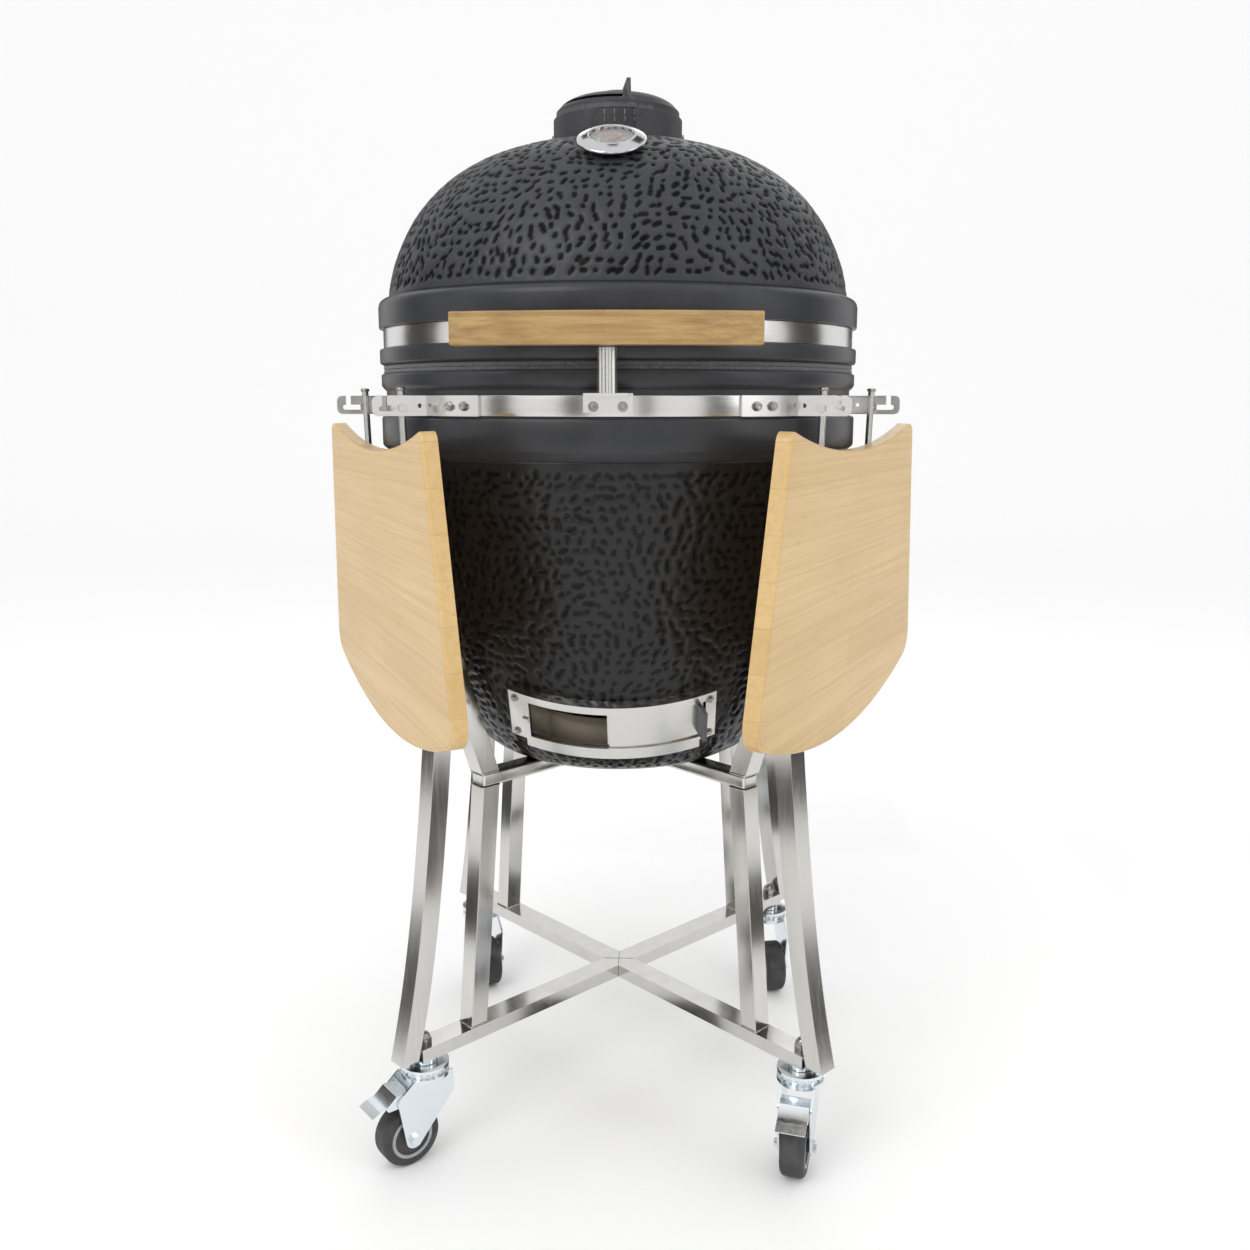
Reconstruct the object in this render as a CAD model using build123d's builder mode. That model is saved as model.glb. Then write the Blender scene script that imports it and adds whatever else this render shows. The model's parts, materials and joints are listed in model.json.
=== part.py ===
from build123d import *
from math import asin, cos, degrees, radians, sin, sqrt
import os

os.makedirs("parts", exist_ok=True)

# Kamado ceramic grill on a four-legged stand with casters. Millimetres, +Z up, front towards -Y.
# The origin is where the body's axis meets the floor. Azimuths turn from the front (-Y) towards +X.

# --- ceramic body -----------------------------------------------------------------------------
rim_r = 297.0  # outer radius of the thick rims
wall = 24.0  # ceramic wall
foot_z = 470.0  # underside of the base, on the stand's upper cross
base_h = 476.0  # base, from the foot to the rim
foot_in = 147.0  # foot inside the rim's radius
base_floor = 27.0  # thickness of the base's floor
rim_chamfer = 3.0
band_seat = 6.6  # depth of the two band grooves
lower_ring_h = 35.0  # ring under the lower band
upper_ring_h = 20.0  # ring over the lower band
lower_groove_h = 30.5
ring_taper = 10.0  # height of the slope under the lower ring
# belly outline: inset from rim_r, height over the foot
belly = [(125.0, 12.0), (93.0, 50.0), (66.0, 110.0), (45.0, 180.0), (29.0, 260.0), (18.0, 330.0)]
belly_top_inset = 12.0

# --- lid --------------------------------------------------------------------------------------
gasket_t = 4.6
gasket_w = 22.0
gasket_inset = 4.0
seam_gap = 0.3  # between the two gaskets
lid_ring_h = 19.8  # ring under the upper band
upper_groove_h = 23.9
shoulder_h = 25.0  # straight part of the ring over the upper band
# dome outline: inset from rim_r, height over the lid's underside
dome = [(12.8, 79.2), (16.6, 102.0), (28.6, 138.0), (47.7, 173.0)]
dome += [(81.1, 209.8), (117.9, 234.4), (170.0, 254.0)]
dome_h = 264.0
vent_seat_r = 82.0
throat_r = 58.0

# --- bands ------------------------------------------------------------------------------------
band_t = 1.5
band_fit = 0.1  # between a band and its seat
upper_band_h = 23.6
lower_band_h = 22.4
band_drop = 6.0  # lower band, below the top of its groove

# --- inner ceramics and grates ----------------------------------------------------------------
box_step = 6.0  # fire box's top inside the fire ring's radius
box_h = 243.0
box_wall = 20.0
box_floor = 18.0
grate_z = 92.0  # charcoal grate's ledge, over the fire box's foot
grate_r = 140.0
grate_t = 10.0
ring_h = 105.0  # fire ring
ring_clear = 29.0  # fire ring inside the belly's mouth
grid_t = 6.0
grid_step = 8.0  # cooking grid inside the fire ring's radius
loose_fit = 2.0  # loose ceramics and grates in their seats

# --- draft door, on a cylinder tilted like the belly -------------------------------------------
draft_up = 64.0  # middle of the frame over the foot
draft_inset = 78.5  # and inside the rim's radius
draft_tilt = 30.3  # the cylinder's axis from vertical
frame_in = 42.0  # the frame's cylinder, under the rim's radius
frame_h = 84.0
frame_deg = 28.3  # half of the frame's width
plate_t = 2.0
channel_h = 66.0
window_h = 55.0
window_up = 5.0  # window's middle over the frame's middle
window_deg = (-22.4, -1.2)
door_t = 1.6
door_deg = (-0.8, 24.4)
door_gap = 0.4
door_h = 62.0
knob_h = 46.0
knob_out = 17.0
ear_step = 12.0  # the ears end this far above the bottom rail
ear_deg = 4.6
opening_up = 3.0  # door's middle over the frame's middle
duct_t = 1.5
duct_depth = 47.0  # the duct's inner end, behind the frame's face
duct_clear = 2.5  # ceramic round the duct
screw_r = 4.0
screw_h = 3.0
screw_deg = 26.4
screw_up = (-22.0, 32.0)
knob_deg = 1.1

# --- handle, rest and hinge -------------------------------------------------------------------
handle_len = 313.0
handle_h = 33.0
handle_t = 24.0
handle_up = 29.5  # middle of the bar over the lid's underside
handle_out = 54.0  # middle of the bar in front of the band
handle_bow = 18.0  # how far the ends lie behind the middle
handle_bracket_x = 105.0
handle_bracket_w = 24.0
strap_t = 4.0
strap_root = 37.0  # how far the straps start inside the band
pad_h = 20.0  # bracket pads on the bands
rest_bolt_x = 15.0
rest_bolt_out = 4.4  # seat of the rest's bolts, off the band
bolt_r = 2.5
bolt_fit = 0.15
bolt_head = (5.5, 1.0, 4.6, 3.5)  # washer radius and height, head radius and height
rest_r = 11.0
rest_wall = 2.0
rest_gap = 0.6
rest_plate = (52.0, 20.0)
hinge_out = 44.0  # pin behind the band
hinge_up = 5.0  # pin over the base
hinge_pin_r = 5.0
hinge_half = 62.0
hinge_plate = 4.0
run_fit = 0.06  # radial running clearance

# --- top vent and thermometer -----------------------------------------------------------------
collar_r = 78.8
collar_h = 30.5
collar_in = 52.0
cap_gap = 0.4
cap_t = 4.0
cap_dome = [(75.3, 7.0), (73.2, 10.2), (70.6, 13.2), (64.5, 18.0), (52.0, 23.4), (22.0, 30.6)]
cap_h = 32.4
fin_az = 12.8
fin_h = 34.0
fin_t = 4.4
fin_foot_r = 72.5
fin_tip_r = 69.0
fin_end_r = 40.0
slit_z = 12.5  # slit of the cap over its underside
slit_h = 4.2
slit_deg = (-66.0, 6.8)
scale_deep = 3.2
scale_low = 6.0
scale_w = 56.0
scale_x = -4.0
therm_in = 110.0  # thermometer's seat, inside the rim's radius
therm_drop = 34.0  # and under the lid's top
therm_tilt = 33.0
bezel_r = 38.0
bezel_h = 13.0
dial_r = 24.0
probe_len = 95.0
probe_r = 3.5
probe_fit = 0.5
dial_seat = 4.0
dial_t = 1.2
needle_z = 5.6
needle_t = 0.8
needle_hub = 2.6
needle_points = [(-3.6, -1.2), (13.4, 11.4), (2.2, -3.0)]
glass_z = 9.0
glass_t = 1.5

# --- folding side shelves ---------------------------------------------------------------------
shelf_az = 63.9
shelf_lean = 1.6
board_t = 18.0
board_top_half = 231.0
board_low_half = 292.0
board_side = 317.0
board_hollow = 29.0
board_bulge = 54.0
board_drop = 19.0  # tips of the board under the pivot
pivot_out = 11.5  # pivot line outside the band
pivot_up = 8.4  # and over the band's lower edge
rod_r = 4.0
rod_half = 91.0  # rods from the shelf's middle line
rod_up = 22.0
rod_down = 160.0
rod_seat = 0.5  # how far the board's inner face lies beyond the rods' middle
bracket_half = 98.0
bracket_t = 3.0
bracket_out = 46.0  # brackets beyond the band
pin_r = 2.7
slot_gap = 0.35
bolt_az = (27.5, 31.6)  # band bolts of a bracket, from the shelf's azimuth

# --- stand ------------------------------------------------------------------------------------
beam_t = 17.0
beam_w = 30.0
tube_w = 25.0  # leg tubes, across the diagonal planes
tube_wall = 1.5
leg_d = 24.0
leg_top = [(-13.0, 148.0), (-4.0, 40.0), (9.0, -81.0)]  # from the rim's radius and the foot
leg_low = [(26.5, 138.0), (55.0, 4.0)]  # from the rim's radius and the lower cross
post_d = 24.0
post_top_in = 74.0  # posts inside the rim's radius, at the top
post_foot_in = 47.0  # and at the foot
cross_t = 18.0
arm_d = 26.0
arm_rise = 150.0
arm_out = 50.0
arm_gap = 0.6  # weld gap between a cradle arm and its leg

# --- casters ----------------------------------------------------------------------------------
stem_out = 26.6  # stems outside the rim's radius
stem_r = 5.0
stem_head_r = 9.0
collar_out = 15.0  # washer between a fork and the cross
wheel_r = 37.5
wheel_w = 30.0
hub_r = 27.0
trail = 28.0
axle_r = 4.0
fork_gap = 3.0  # wheel to fork plates
fork_t = 2.5
fork_r = 29.0
fork_over = 32.0  # fork's top plate over the wheel
fork_h = 16.0
fork_foot_r = 11.0
shoulder_x = -14.0  # rear shoulder of the fork plates
shoulder_over = 13.0  # its middle over the wheel
shoulder_r = 13.0
pedal_boss_r = 8.0
fork_seat = 6.0  # lower cross over the fork
stack_gap = 0.4
pedal_x = 12.0  # pedal's pin in front of the axle
pedal_over = 15.0  # and over the wheel
pedal_line = [(-8.0, 10.0), (8.0, 9.0), (20.0, -1.0), (30.0, -3.0), (40.0, -8.0)]
pedal_t = 1.6
corners = {"fl": 225.0, "fr": 315.0, "rl": 135.0, "rr": 45.0}
headings = {"fl": 220.0, "fr": 255.0, "rl": 295.0, "rr": 280.0}
braked = ("fl", "fr")

# --- worked-out places ------------------------------------------------------------------------
foot_r = rim_r - foot_in
box_foot_r = foot_r
base_top = foot_z + base_h
lid_bottom = base_top + 2 * gasket_t + seam_gap
seat_r = rim_r - band_seat
band_r = seat_r + band_fit + band_t
lower_groove_top = base_top - upper_ring_h
lower_groove_low = lower_groove_top - lower_groove_h
lower_band_z = lower_groove_top - band_drop - lower_band_h
upper_groove_low = lid_bottom + lid_ring_h
upper_groove_top = upper_groove_low + upper_groove_h
lid_top = lid_bottom + dome_h
fork_low = 2 * wheel_r + fork_over
fork_top = fork_low + fork_h
fork_shoulder = (shoulder_x, 2 * wheel_r + shoulder_over)
pedal_pivot = (trail + pedal_x, 2 * wheel_r + pedal_over)
beam_z = fork_top + fork_seat  # underside of the lower cross
beam_top = beam_z + beam_t
handle_z = lid_bottom + handle_up
handle_y = band_r + handle_out  # in front of the axis
hinge_y = band_r + hinge_out  # behind the axis
hinge_z = base_top + hinge_up
therm_y = rim_r - therm_in
therm_z = lid_top - therm_drop
pivot_d = band_r + pivot_out
pivot_z = lower_band_z + pivot_up
bracket_reach = band_r + bracket_out
draft_z = foot_z + draft_up
draft_y = rim_r - draft_inset
ring_r = rim_r - belly_top_inset - wall - ring_clear
box_top_r = ring_r - box_step
grid_r = ring_r - grid_step
post_top_r = rim_r - post_top_in
post_foot_r = rim_r - post_foot_in
stem_rho = rim_r + stem_out
leg_line = [(rim_r + r, foot_z + h) for r, h in leg_top]
leg_line += [(rim_r + r, beam_z + h) for r, h in leg_low]
cross_z = foot_z - cross_t
frame_r = rim_r - frame_in  # outer face of the frame
duct_in = frame_r - duct_depth
bolt_z = lower_band_z + lower_band_h / 2 - 0.5


def save(piece, name):
    piece.part.label = name
    export_step(piece.part, f"parts/{name}.step")


def radial(angle):
    """Vertical plane through the axis: x outwards at this angle from +X, y upwards."""
    a = radians(angle)
    return Plane(origin=(0, 0, 0), x_dir=(cos(a), sin(a), 0), z_dir=(sin(a), -cos(a), 0))


def belly_outline(inset=0.0):
    return [(rim_r - i - inset, foot_z + h) for i, h in belly]


# === ceramic body =============================================================================
with BuildPart() as belly_solid:
    with BuildSketch(Plane.XZ):
        with BuildLine():
            low = Polyline((0, foot_z), (foot_r, foot_z))
            ring_low = lower_groove_low - lower_ring_h
            side = Spline(low @ 1, *belly_outline(), (rim_r - belly_top_inset, ring_low - ring_taper))
            Polyline(
                side @ 1,
                (rim_r, ring_low),
                (rim_r, lower_groove_low - rim_chamfer),
                (rim_r - rim_chamfer, lower_groove_low),
                (seat_r, lower_groove_low),
                (seat_r, lower_groove_top),
                (rim_r - 2 * rim_chamfer, lower_groove_top),
                (rim_r - 1, lower_groove_top + 2 * rim_chamfer),
                (rim_r - 1, base_top - 1),
                (rim_r - 2, base_top),
                (0, base_top),
                low @ 0,
            )
        make_face()
    revolve(axis=Axis.Z)

draft_dir = Vector(0, -sin(radians(draft_tilt)), cos(radians(draft_tilt)))
draft_in = Vector(0, cos(radians(draft_tilt)), sin(radians(draft_tilt)))
draft_axis_at = Vector(0, -draft_y, draft_z) + draft_in * frame_r
draft = Plane(origin=draft_axis_at, x_dir=(1, 0, 0), z_dir=draft_dir)


def sector(r_in, r_out, deg_from, deg_to):
    """Annular sector in the current sketch, its angles from the sketch's -y towards its +x."""
    with BuildSketch(mode=Mode.PRIVATE) as slice_of:
        with BuildLine():
            a, b = radians(deg_from), radians(deg_to)
            m = (a + b) / 2
            outer = ThreePointArc(*[(r_out * sin(t), -r_out * cos(t)) for t in (a, m, b)])
            inner = ThreePointArc(*[(r_in * sin(t), -r_in * cos(t)) for t in (a, m, b)])
            Line(outer @ 0, inner @ 0)
            Line(outer @ 1, inner @ 1)
        make_face()
    return slice_of.sketch


def draft_sector(r_in, r_out, deg_from, deg_to, height, up=0.0):
    """Solid sector about the draft cylinder's axis, its middle `up` over the frame's middle."""
    with BuildPart(mode=Mode.PRIVATE) as block:
        with BuildSketch(draft.offset(up - height / 2)):
            add(sector(r_in, r_out, deg_from, deg_to))
        extrude(amount=height)
    return block.part


duct = draft_sector(duct_in, frame_r - 3, *window_deg, window_h, window_up)
hole_deg = (window_deg[0] - 1, window_deg[1] + 1)
duct_hole = draft_sector(duct_in - 60, frame_r, *hole_deg, window_h + 2 * duct_clear, window_up)

with BuildPart() as base_shell:
    add(belly_solid.part)
    with BuildSketch(Plane.XZ):
        with BuildLine():
            floor_z = foot_z + base_floor
            floor = Polyline((0, floor_z), (foot_r, floor_z))
            mouth_r = rim_r - belly_top_inset - wall
            inside = Spline(floor @ 1, *belly_outline(wall)[1:], (mouth_r, base_top - 90))
            Polyline(inside @ 1, (mouth_r, base_top + 1), (0, base_top + 1), floor @ 0)
        make_face()
    revolve(axis=Axis.Z, mode=Mode.SUBTRACT)
    add(duct_hole, mode=Mode.SUBTRACT)
save(base_shell, "base_shell")


def gasket(z, name):
    with BuildPart() as strip:
        with BuildSketch(Plane.XY.offset(z)):
            Circle(rim_r - gasket_inset)
            Circle(rim_r - gasket_inset - gasket_w, mode=Mode.SUBTRACT)
        extrude(amount=gasket_t)
    save(strip, name)


gasket(base_top, "base_gasket")
gasket(lid_bottom - gasket_t, "lid_gasket")

# === lid ======================================================================================
therm_dir = (0, -sin(radians(therm_tilt)), cos(radians(therm_tilt)))
therm = Plane(origin=(0, -therm_y, therm_z), x_dir=(1, 0, 0), z_dir=therm_dir)

with BuildPart() as lid_shell:
    with BuildSketch(Plane.XZ):
        with BuildLine():
            ring_r_low = rim_r - 2 * rim_chamfer
            skirt = Polyline(
                (0, lid_bottom),
                (ring_r_low, lid_bottom),
                (rim_r, lid_bottom + rim_chamfer),
                (rim_r, upper_groove_low - 2),
                (rim_r - 2, upper_groove_low),
                (seat_r, upper_groove_low),
                (seat_r, upper_groove_top),
                (rim_r - 1, upper_groove_top),
                (rim_r, upper_groove_top + 2),
                (rim_r, upper_groove_top + shoulder_h),
            )
            points = [(rim_r - i, lid_bottom + h) for i, h in dome]
            shoulder = RadiusArc(skirt @ 1, points[0], -13.5)
            crown = Spline(*points, (vent_seat_r, lid_top))
            Polyline(crown @ 1, (0, lid_top), skirt @ 0)
        make_face()
    revolve(axis=Axis.Z)
    with BuildSketch(Plane.XZ):
        with BuildLine():
            across = (rim_r - dome[0][0] - wall) / (rim_r - dome[0][0])
            tall = (dome_h - wall) / dome_h
            inner = [((rim_r - i) * across, lid_bottom + h * tall) for i, h in dome]
            hollow = Spline(*inner, (vent_seat_r * across, lid_bottom + dome_h * tall))
            Polyline(hollow @ 1, (0, lid_bottom + dome_h * tall), (0, lid_bottom - 1))
            Polyline((0, lid_bottom - 1), (inner[0][0], lid_bottom - 1), inner[0])
        make_face()
    revolve(axis=Axis.Z, mode=Mode.SUBTRACT)
    with BuildSketch(Plane.XY.offset(lid_top - 2 * wall)):
        Circle(throat_r)
    extrude(amount=3 * wall, mode=Mode.SUBTRACT)
    with BuildSketch(therm.offset(-2 * wall)):
        Circle(probe_r + probe_fit)
    extrude(amount=3 * wall, mode=Mode.SUBTRACT)
save(lid_shell, "lid_shell")


# === bands ====================================================================================
def bolt_places():
    """Azimuths of the lower band's bolts: two on each shelf bracket, two on the handle rest."""
    places = []
    for side in (-1, 1):
        for end in (-1, 1):
            for offset in bolt_az:
                places.append(side * (shelf_az + end * offset))
    half = degrees(asin(rest_bolt_x / band_r))
    return places + [-half, half]


def outward(azimuth, distance, z):
    """Plane facing outwards at this azimuth and distance from the axis."""
    a = radians(azimuth)
    way = Vector(sin(a), -cos(a), 0)
    return Plane(origin=way * distance + Vector(0, 0, z), x_dir=(cos(a), sin(a), 0), z_dir=way)


def band(z, height, name, holes):
    with BuildPart() as hoop:
        with BuildSketch(Plane.XY.offset(z)):
            Circle(band_r)
            Circle(band_r - band_t, mode=Mode.SUBTRACT)
        extrude(amount=height)
        for azimuth in holes:
            with BuildSketch(outward(azimuth, band_r - 5, bolt_z)):
                Circle(bolt_r + bolt_fit)
            extrude(amount=10, mode=Mode.SUBTRACT)
    save(hoop, name)


band(upper_groove_low + 0.15, upper_band_h, "upper_band", [])
band(lower_band_z, lower_band_h, "lower_band", bolt_places())

# === inner ceramics and grates ================================================================
box_z = foot_z + base_floor
box_slope = (box_top_r - box_foot_r) / box_h
with BuildPart() as fire_box:
    with BuildSketch(Plane.XZ):
        with BuildLine():
            Polyline(
                (0, box_z),
                (box_foot_r, box_z),
                (box_top_r, box_z + box_h),
                (box_top_r - box_wall, box_z + box_h),
                (box_foot_r - box_wall + grate_z * box_slope + grate_t, box_z + grate_z),
                (grate_r - loose_fit - 14, box_z + grate_z),
                (grate_r - loose_fit - 14, box_z + box_floor),
                (0, box_z + box_floor),
                close=True,
            )
        make_face()
    revolve(axis=Axis.Z)
    with BuildSketch(Plane.XZ.offset(0)):
        with Locations((-52, box_z + box_floor + 27)):
            Rectangle(100, 50)
    extrude(amount=box_top_r, mode=Mode.SUBTRACT)
save(fire_box, "fire_box")

with BuildPart() as charcoal_grate:
    with BuildSketch(Plane.XY.offset(box_z + grate_z)):
        Circle(grate_r - loose_fit)
        with GridLocations(0, 22, 1, 10):
            SlotOverall(2 * grate_r - 120, 10, mode=Mode.SUBTRACT)
    extrude(amount=grate_t)
save(charcoal_grate, "charcoal_grate")

with BuildPart() as fire_ring:
    with BuildSketch(Plane.XY.offset(box_z + box_h)):
        Circle(ring_r)
        Circle(ring_r - box_wall, mode=Mode.SUBTRACT)
    extrude(amount=ring_h)
save(fire_ring, "fire_ring")

grid_z = box_z + box_h + ring_h
with BuildPart() as cooking_grid:
    with BuildSketch(Plane.XY.offset(grid_z)):
        Circle(grid_r)
        Circle(grid_r - 8, mode=Mode.SUBTRACT)
        with BuildSketch(mode=Mode.PRIVATE) as bars:
            with GridLocations(18, 0, 23, 1):
                Rectangle(4, 2 * grid_r)
            with GridLocations(0, 200, 1, 2):
                Rectangle(2 * grid_r, 6)
            Circle(grid_r - 1, mode=Mode.INTERSECT)
        add(bars.sketch)
    extrude(amount=grid_t)
save(cooking_grid, "cooking_grid")

# === draft door ===============================================================================
opening_h = door_h - 6
back_r = frame_r - plate_t - 2 * door_gap - door_t
front_r = frame_r - plate_t
cut_in = frame_r - 30
with BuildPart() as draft_frame:
    add(draft_sector(frame_r - 22, frame_r, -frame_deg, frame_deg, frame_h))
    opening_deg = (window_deg[0], frame_deg - 3)
    channel_deg = (-frame_deg + 2.2, frame_deg + 1)
    add(draft_sector(front_r - 1, frame_r + 1, *opening_deg, opening_h, opening_up), mode=Mode.SUBTRACT)
    add(draft_sector(back_r, front_r, *channel_deg, channel_h, opening_up), mode=Mode.SUBTRACT)
    add(draft_sector(cut_in, frame_r - 3, *window_deg, window_h, window_up), mode=Mode.SUBTRACT)
    ear_up = (ear_step - frame_h) / 2
    foot = draft_sector(cut_in, frame_r + 1, frame_deg - ear_deg, frame_deg + 1, ear_step, ear_up)
    add(foot, mode=Mode.SUBTRACT)
    add(mirror(foot, about=Plane.YZ), mode=Mode.SUBTRACT)
    add(belly_solid.part, mode=Mode.SUBTRACT)
    liner_deg = (window_deg[0] - 0.35, window_deg[1] + 0.35)
    add(draft_sector(duct_in, back_r, *liner_deg, window_h + 2 * duct_t, window_up))
    add(duct, mode=Mode.SUBTRACT)
save(draft_frame, "draft_frame")

with BuildPart() as draft_door:
    door_out = front_r - door_gap
    add(draft_sector(door_out - door_t, door_out, *door_deg, door_h, opening_up))
save(draft_door, "draft_door")

with BuildPart() as draft_knob:
    grip_deg = (door_deg[1] - knob_deg - 0.1, door_deg[1] - 0.1)
    add(draft_sector(door_out, door_out + knob_out, *grip_deg, knob_h, opening_up))
    long_edges = draft_knob.edges().filter_by(Axis(draft_axis_at, draft_dir))
    fillet(long_edges.group_by(Axis(draft_axis_at, draft_in))[0], 1.8)
save(draft_knob, "draft_knob")

with BuildPart() as draft_screws:
    for azimuth in (-screw_deg, screw_deg):
        for up in screw_up:
            a = radians(azimuth)
            way = Vector(sin(a), 0, 0) - draft_in * cos(a)
            spot = draft_axis_at + draft_dir * up + way * frame_r
            with BuildSketch(Plane(origin=spot, x_dir=draft_dir, z_dir=way)):
                RegularPolygon(screw_r, 6)
            extrude(amount=screw_h)
save(draft_screws, "draft_screws")

# === handle, rest and hinge ===================================================================
with BuildPart() as handle_bar:
    with BuildSketch(Plane.XY.offset(handle_z - handle_h / 2)):
        with BuildLine():
            half = handle_len / 2
            front = ThreePointArc(
                (-half, -handle_y - handle_t / 2 + handle_bow),
                (0, -handle_y - handle_t / 2),
                (half, -handle_y - handle_t / 2 + handle_bow),
            )
            rear = ThreePointArc(
                (-half, -handle_y + handle_t / 2 + handle_bow),
                (0, -handle_y + handle_t / 2),
                (half, -handle_y + handle_t / 2 + handle_bow),
            )
            Line(front @ 0, rear @ 0)
            Line(front @ 1, rear @ 1)
        make_face()
    extrude(amount=handle_h)
    fillet(handle_bar.edges(), 2.0)
save(handle_bar, "handle_bar")

upper_mid = upper_groove_low + upper_groove_h / 2
with BuildPart() as handle_brackets:
    bar_bow_at = handle_bow * (handle_bracket_x / (handle_len / 2)) ** 2
    strap_end = handle_y - handle_t / 2 - bar_bow_at
    strap_start = band_r - strap_root
    pad_mid = sqrt(band_r**2 - handle_bracket_x**2) - 4
    for side in (-1, 1):
        with BuildSketch(Plane.XY.offset(handle_z - strap_t / 2)):
            with Locations((side * handle_bracket_x, -(strap_end + strap_start) / 2)):
                Rectangle(handle_bracket_w, strap_end - strap_start)
        extrude(amount=strap_t)
        with BuildSketch(Plane.XY.offset(upper_mid - pad_h / 2)):
            with Locations((side * handle_bracket_x, -pad_mid)):
                Rectangle(handle_bracket_w, handle_bracket_w)
        extrude(amount=pad_h)
    with BuildSketch(Plane.XY.offset(handle_z - 50)):
        Circle(band_r)
    extrude(amount=100, mode=Mode.SUBTRACT)
    add(handle_bar.part, mode=Mode.SUBTRACT)
save(handle_brackets, "handle_brackets")

rest_y = band_r + 6 + rest_r
rest_top = handle_z - handle_h / 2 - rest_gap
plate_z = lower_band_z + 4.5
with BuildPart() as handle_rest:
    with BuildSketch(Plane.XY.offset(plate_z)):
        with Locations((0, -band_r + 3)):
            Rectangle(rest_plate[0], 14)
    extrude(amount=rest_plate[1])
    with BuildSketch(Plane.XY.offset(plate_z + rest_plate[1] - 3)):
        with Locations((0, -band_r - 12)):
            Rectangle(rest_plate[0] - 8, 34)
    extrude(amount=3)
    with BuildSketch(Plane.XY.offset(plate_z - 5)):
        Circle(band_r)
    extrude(amount=rest_plate[1] + 10, mode=Mode.SUBTRACT)
    for side in (-1, 1):
        with BuildSketch(outward(side * degrees(asin(rest_bolt_x / band_r)), band_r - 5, bolt_z)):
            Circle(bolt_r + bolt_fit)
        extrude(amount=20, mode=Mode.SUBTRACT)
    with BuildSketch(Plane.XY.offset(plate_z + rest_plate[1])):
        with Locations((0, -rest_y)):
            Circle(rest_r)
            Circle(rest_r - rest_wall, mode=Mode.SUBTRACT)
    extrude(amount=rest_top - plate_z - rest_plate[1])
save(handle_rest, "handle_rest")

with BuildPart() as hinge_pin:
    with BuildSketch(Plane.YZ.offset(-hinge_half - 8)):
        with Locations((hinge_y, hinge_z)):
            Circle(hinge_pin_r)
    extrude(amount=2 * hinge_half + 16)
    for x in (-hinge_half - 12, hinge_half + 8):
        with BuildSketch(Plane.YZ.offset(x)):
            with Locations((hinge_y, hinge_z)):
                RegularPolygon(8.5, 6)
        extrude(amount=4)
save(hinge_pin, "hinge_pin")


def hinge_bracket(name, x_mid, z_mid):
    """Two cheeks from a band to the pin, on a bent plate that lies against the band."""
    z_low, z_high = z_mid - pad_h / 2 + 1, z_mid + pad_h / 2 - 1
    with BuildPart() as bracket:
        for side in (-1, 1):
            with BuildSketch(Plane.YZ.offset(side * x_mid - hinge_plate / 2)):
                with BuildLine(mode=Mode.PRIVATE) as outline:
                    Polyline(
                        (band_r - 12, z_low),
                        (band_r - 12, z_high),
                        (band_r + 14, z_high),
                        (hinge_y + 9, hinge_z + 4),
                        (hinge_y + 9, hinge_z - 4),
                        (band_r + 14, z_low),
                        close=True,
                    )
                add(make_face(outline.edges(), mode=Mode.PRIVATE))
                with Locations((hinge_y, hinge_z)):
                    Circle(12)
                    Circle(hinge_pin_r + run_fit, mode=Mode.SUBTRACT)
            extrude(amount=hinge_plate)
        with BuildSketch(Plane.XY.offset(z_mid - pad_h / 2)):
            add(Rot(0, 0, 180) * sector(band_r, band_r + 3, -14, 14))
        extrude(amount=pad_h)
        with BuildSketch(Plane.XY.offset(z_low - 60)):
            Circle(band_r)
        extrude(amount=z_high - z_low + 120, mode=Mode.SUBTRACT)
    save(bracket, name)


hinge_bracket("hinge_upper_bracket", hinge_half - 2, upper_mid)
hinge_bracket("hinge_lower_bracket", hinge_half - 10, lower_band_z + lower_band_h / 2)

# === top vent =================================================================================
with BuildPart() as top_vent_collar:
    with BuildSketch(Plane.XY.offset(lid_top)):
        Circle(collar_r)
        Circle(collar_in, mode=Mode.SUBTRACT)
    extrude(amount=collar_h)
    with BuildSketch(Plane.XY.offset(lid_top + scale_low)):
        with Locations((scale_x, -collar_r)):
            Rectangle(scale_w, 4 * scale_deep)
        Circle(collar_r - scale_deep, mode=Mode.SUBTRACT)
    extrude(amount=collar_h, mode=Mode.SUBTRACT)
save(top_vent_collar, "top_vent_collar")

cap_z = lid_top + collar_h + cap_gap


def cap_profile(inset):
    with BuildSketch(Plane.XZ, mode=Mode.PRIVATE) as half:
        with BuildLine():
            points = [(r - inset, cap_z + h - inset) for r, h in cap_dome]
            rise = Line((cap_dome[0][0] + 0.5 - inset, cap_z - (1 if inset else 0)), points[0])
            dome_line = Spline(*points, (0, cap_z + cap_h - inset), tangents=[(0, 1), (-1, 0)])
            Polyline(dome_line @ 1, (0, cap_z - (1 if inset else 0)), rise @ 0)
        make_face()
    return half.sketch


with BuildPart() as top_vent_cap:
    add(cap_profile(0))
    revolve(axis=Axis.Z)
    with BuildSketch(Plane.XY.offset(cap_z + slit_z)):
        add(sector(collar_in - 2, collar_r + 2, *slit_deg))
    extrude(amount=slit_h, mode=Mode.SUBTRACT)
    add(cap_profile(cap_t))
    revolve(axis=Axis.Z, mode=Mode.SUBTRACT)
    with BuildSketch(radial(fin_az - 90).offset(-fin_t / 2)):
        with BuildLine():
            Polyline(
                (fin_foot_r, cap_z + 9),
                (fin_tip_r, cap_z + fin_h),
                (fin_tip_r - 2.5, cap_z + fin_h),
                (fin_end_r, cap_z + 27),
                (fin_end_r, cap_z + 23),
                (60, cap_z + 14),
                close=True,
            )
        make_face()
    extrude(amount=fin_t)
save(top_vent_cap, "top_vent_cap")

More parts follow.
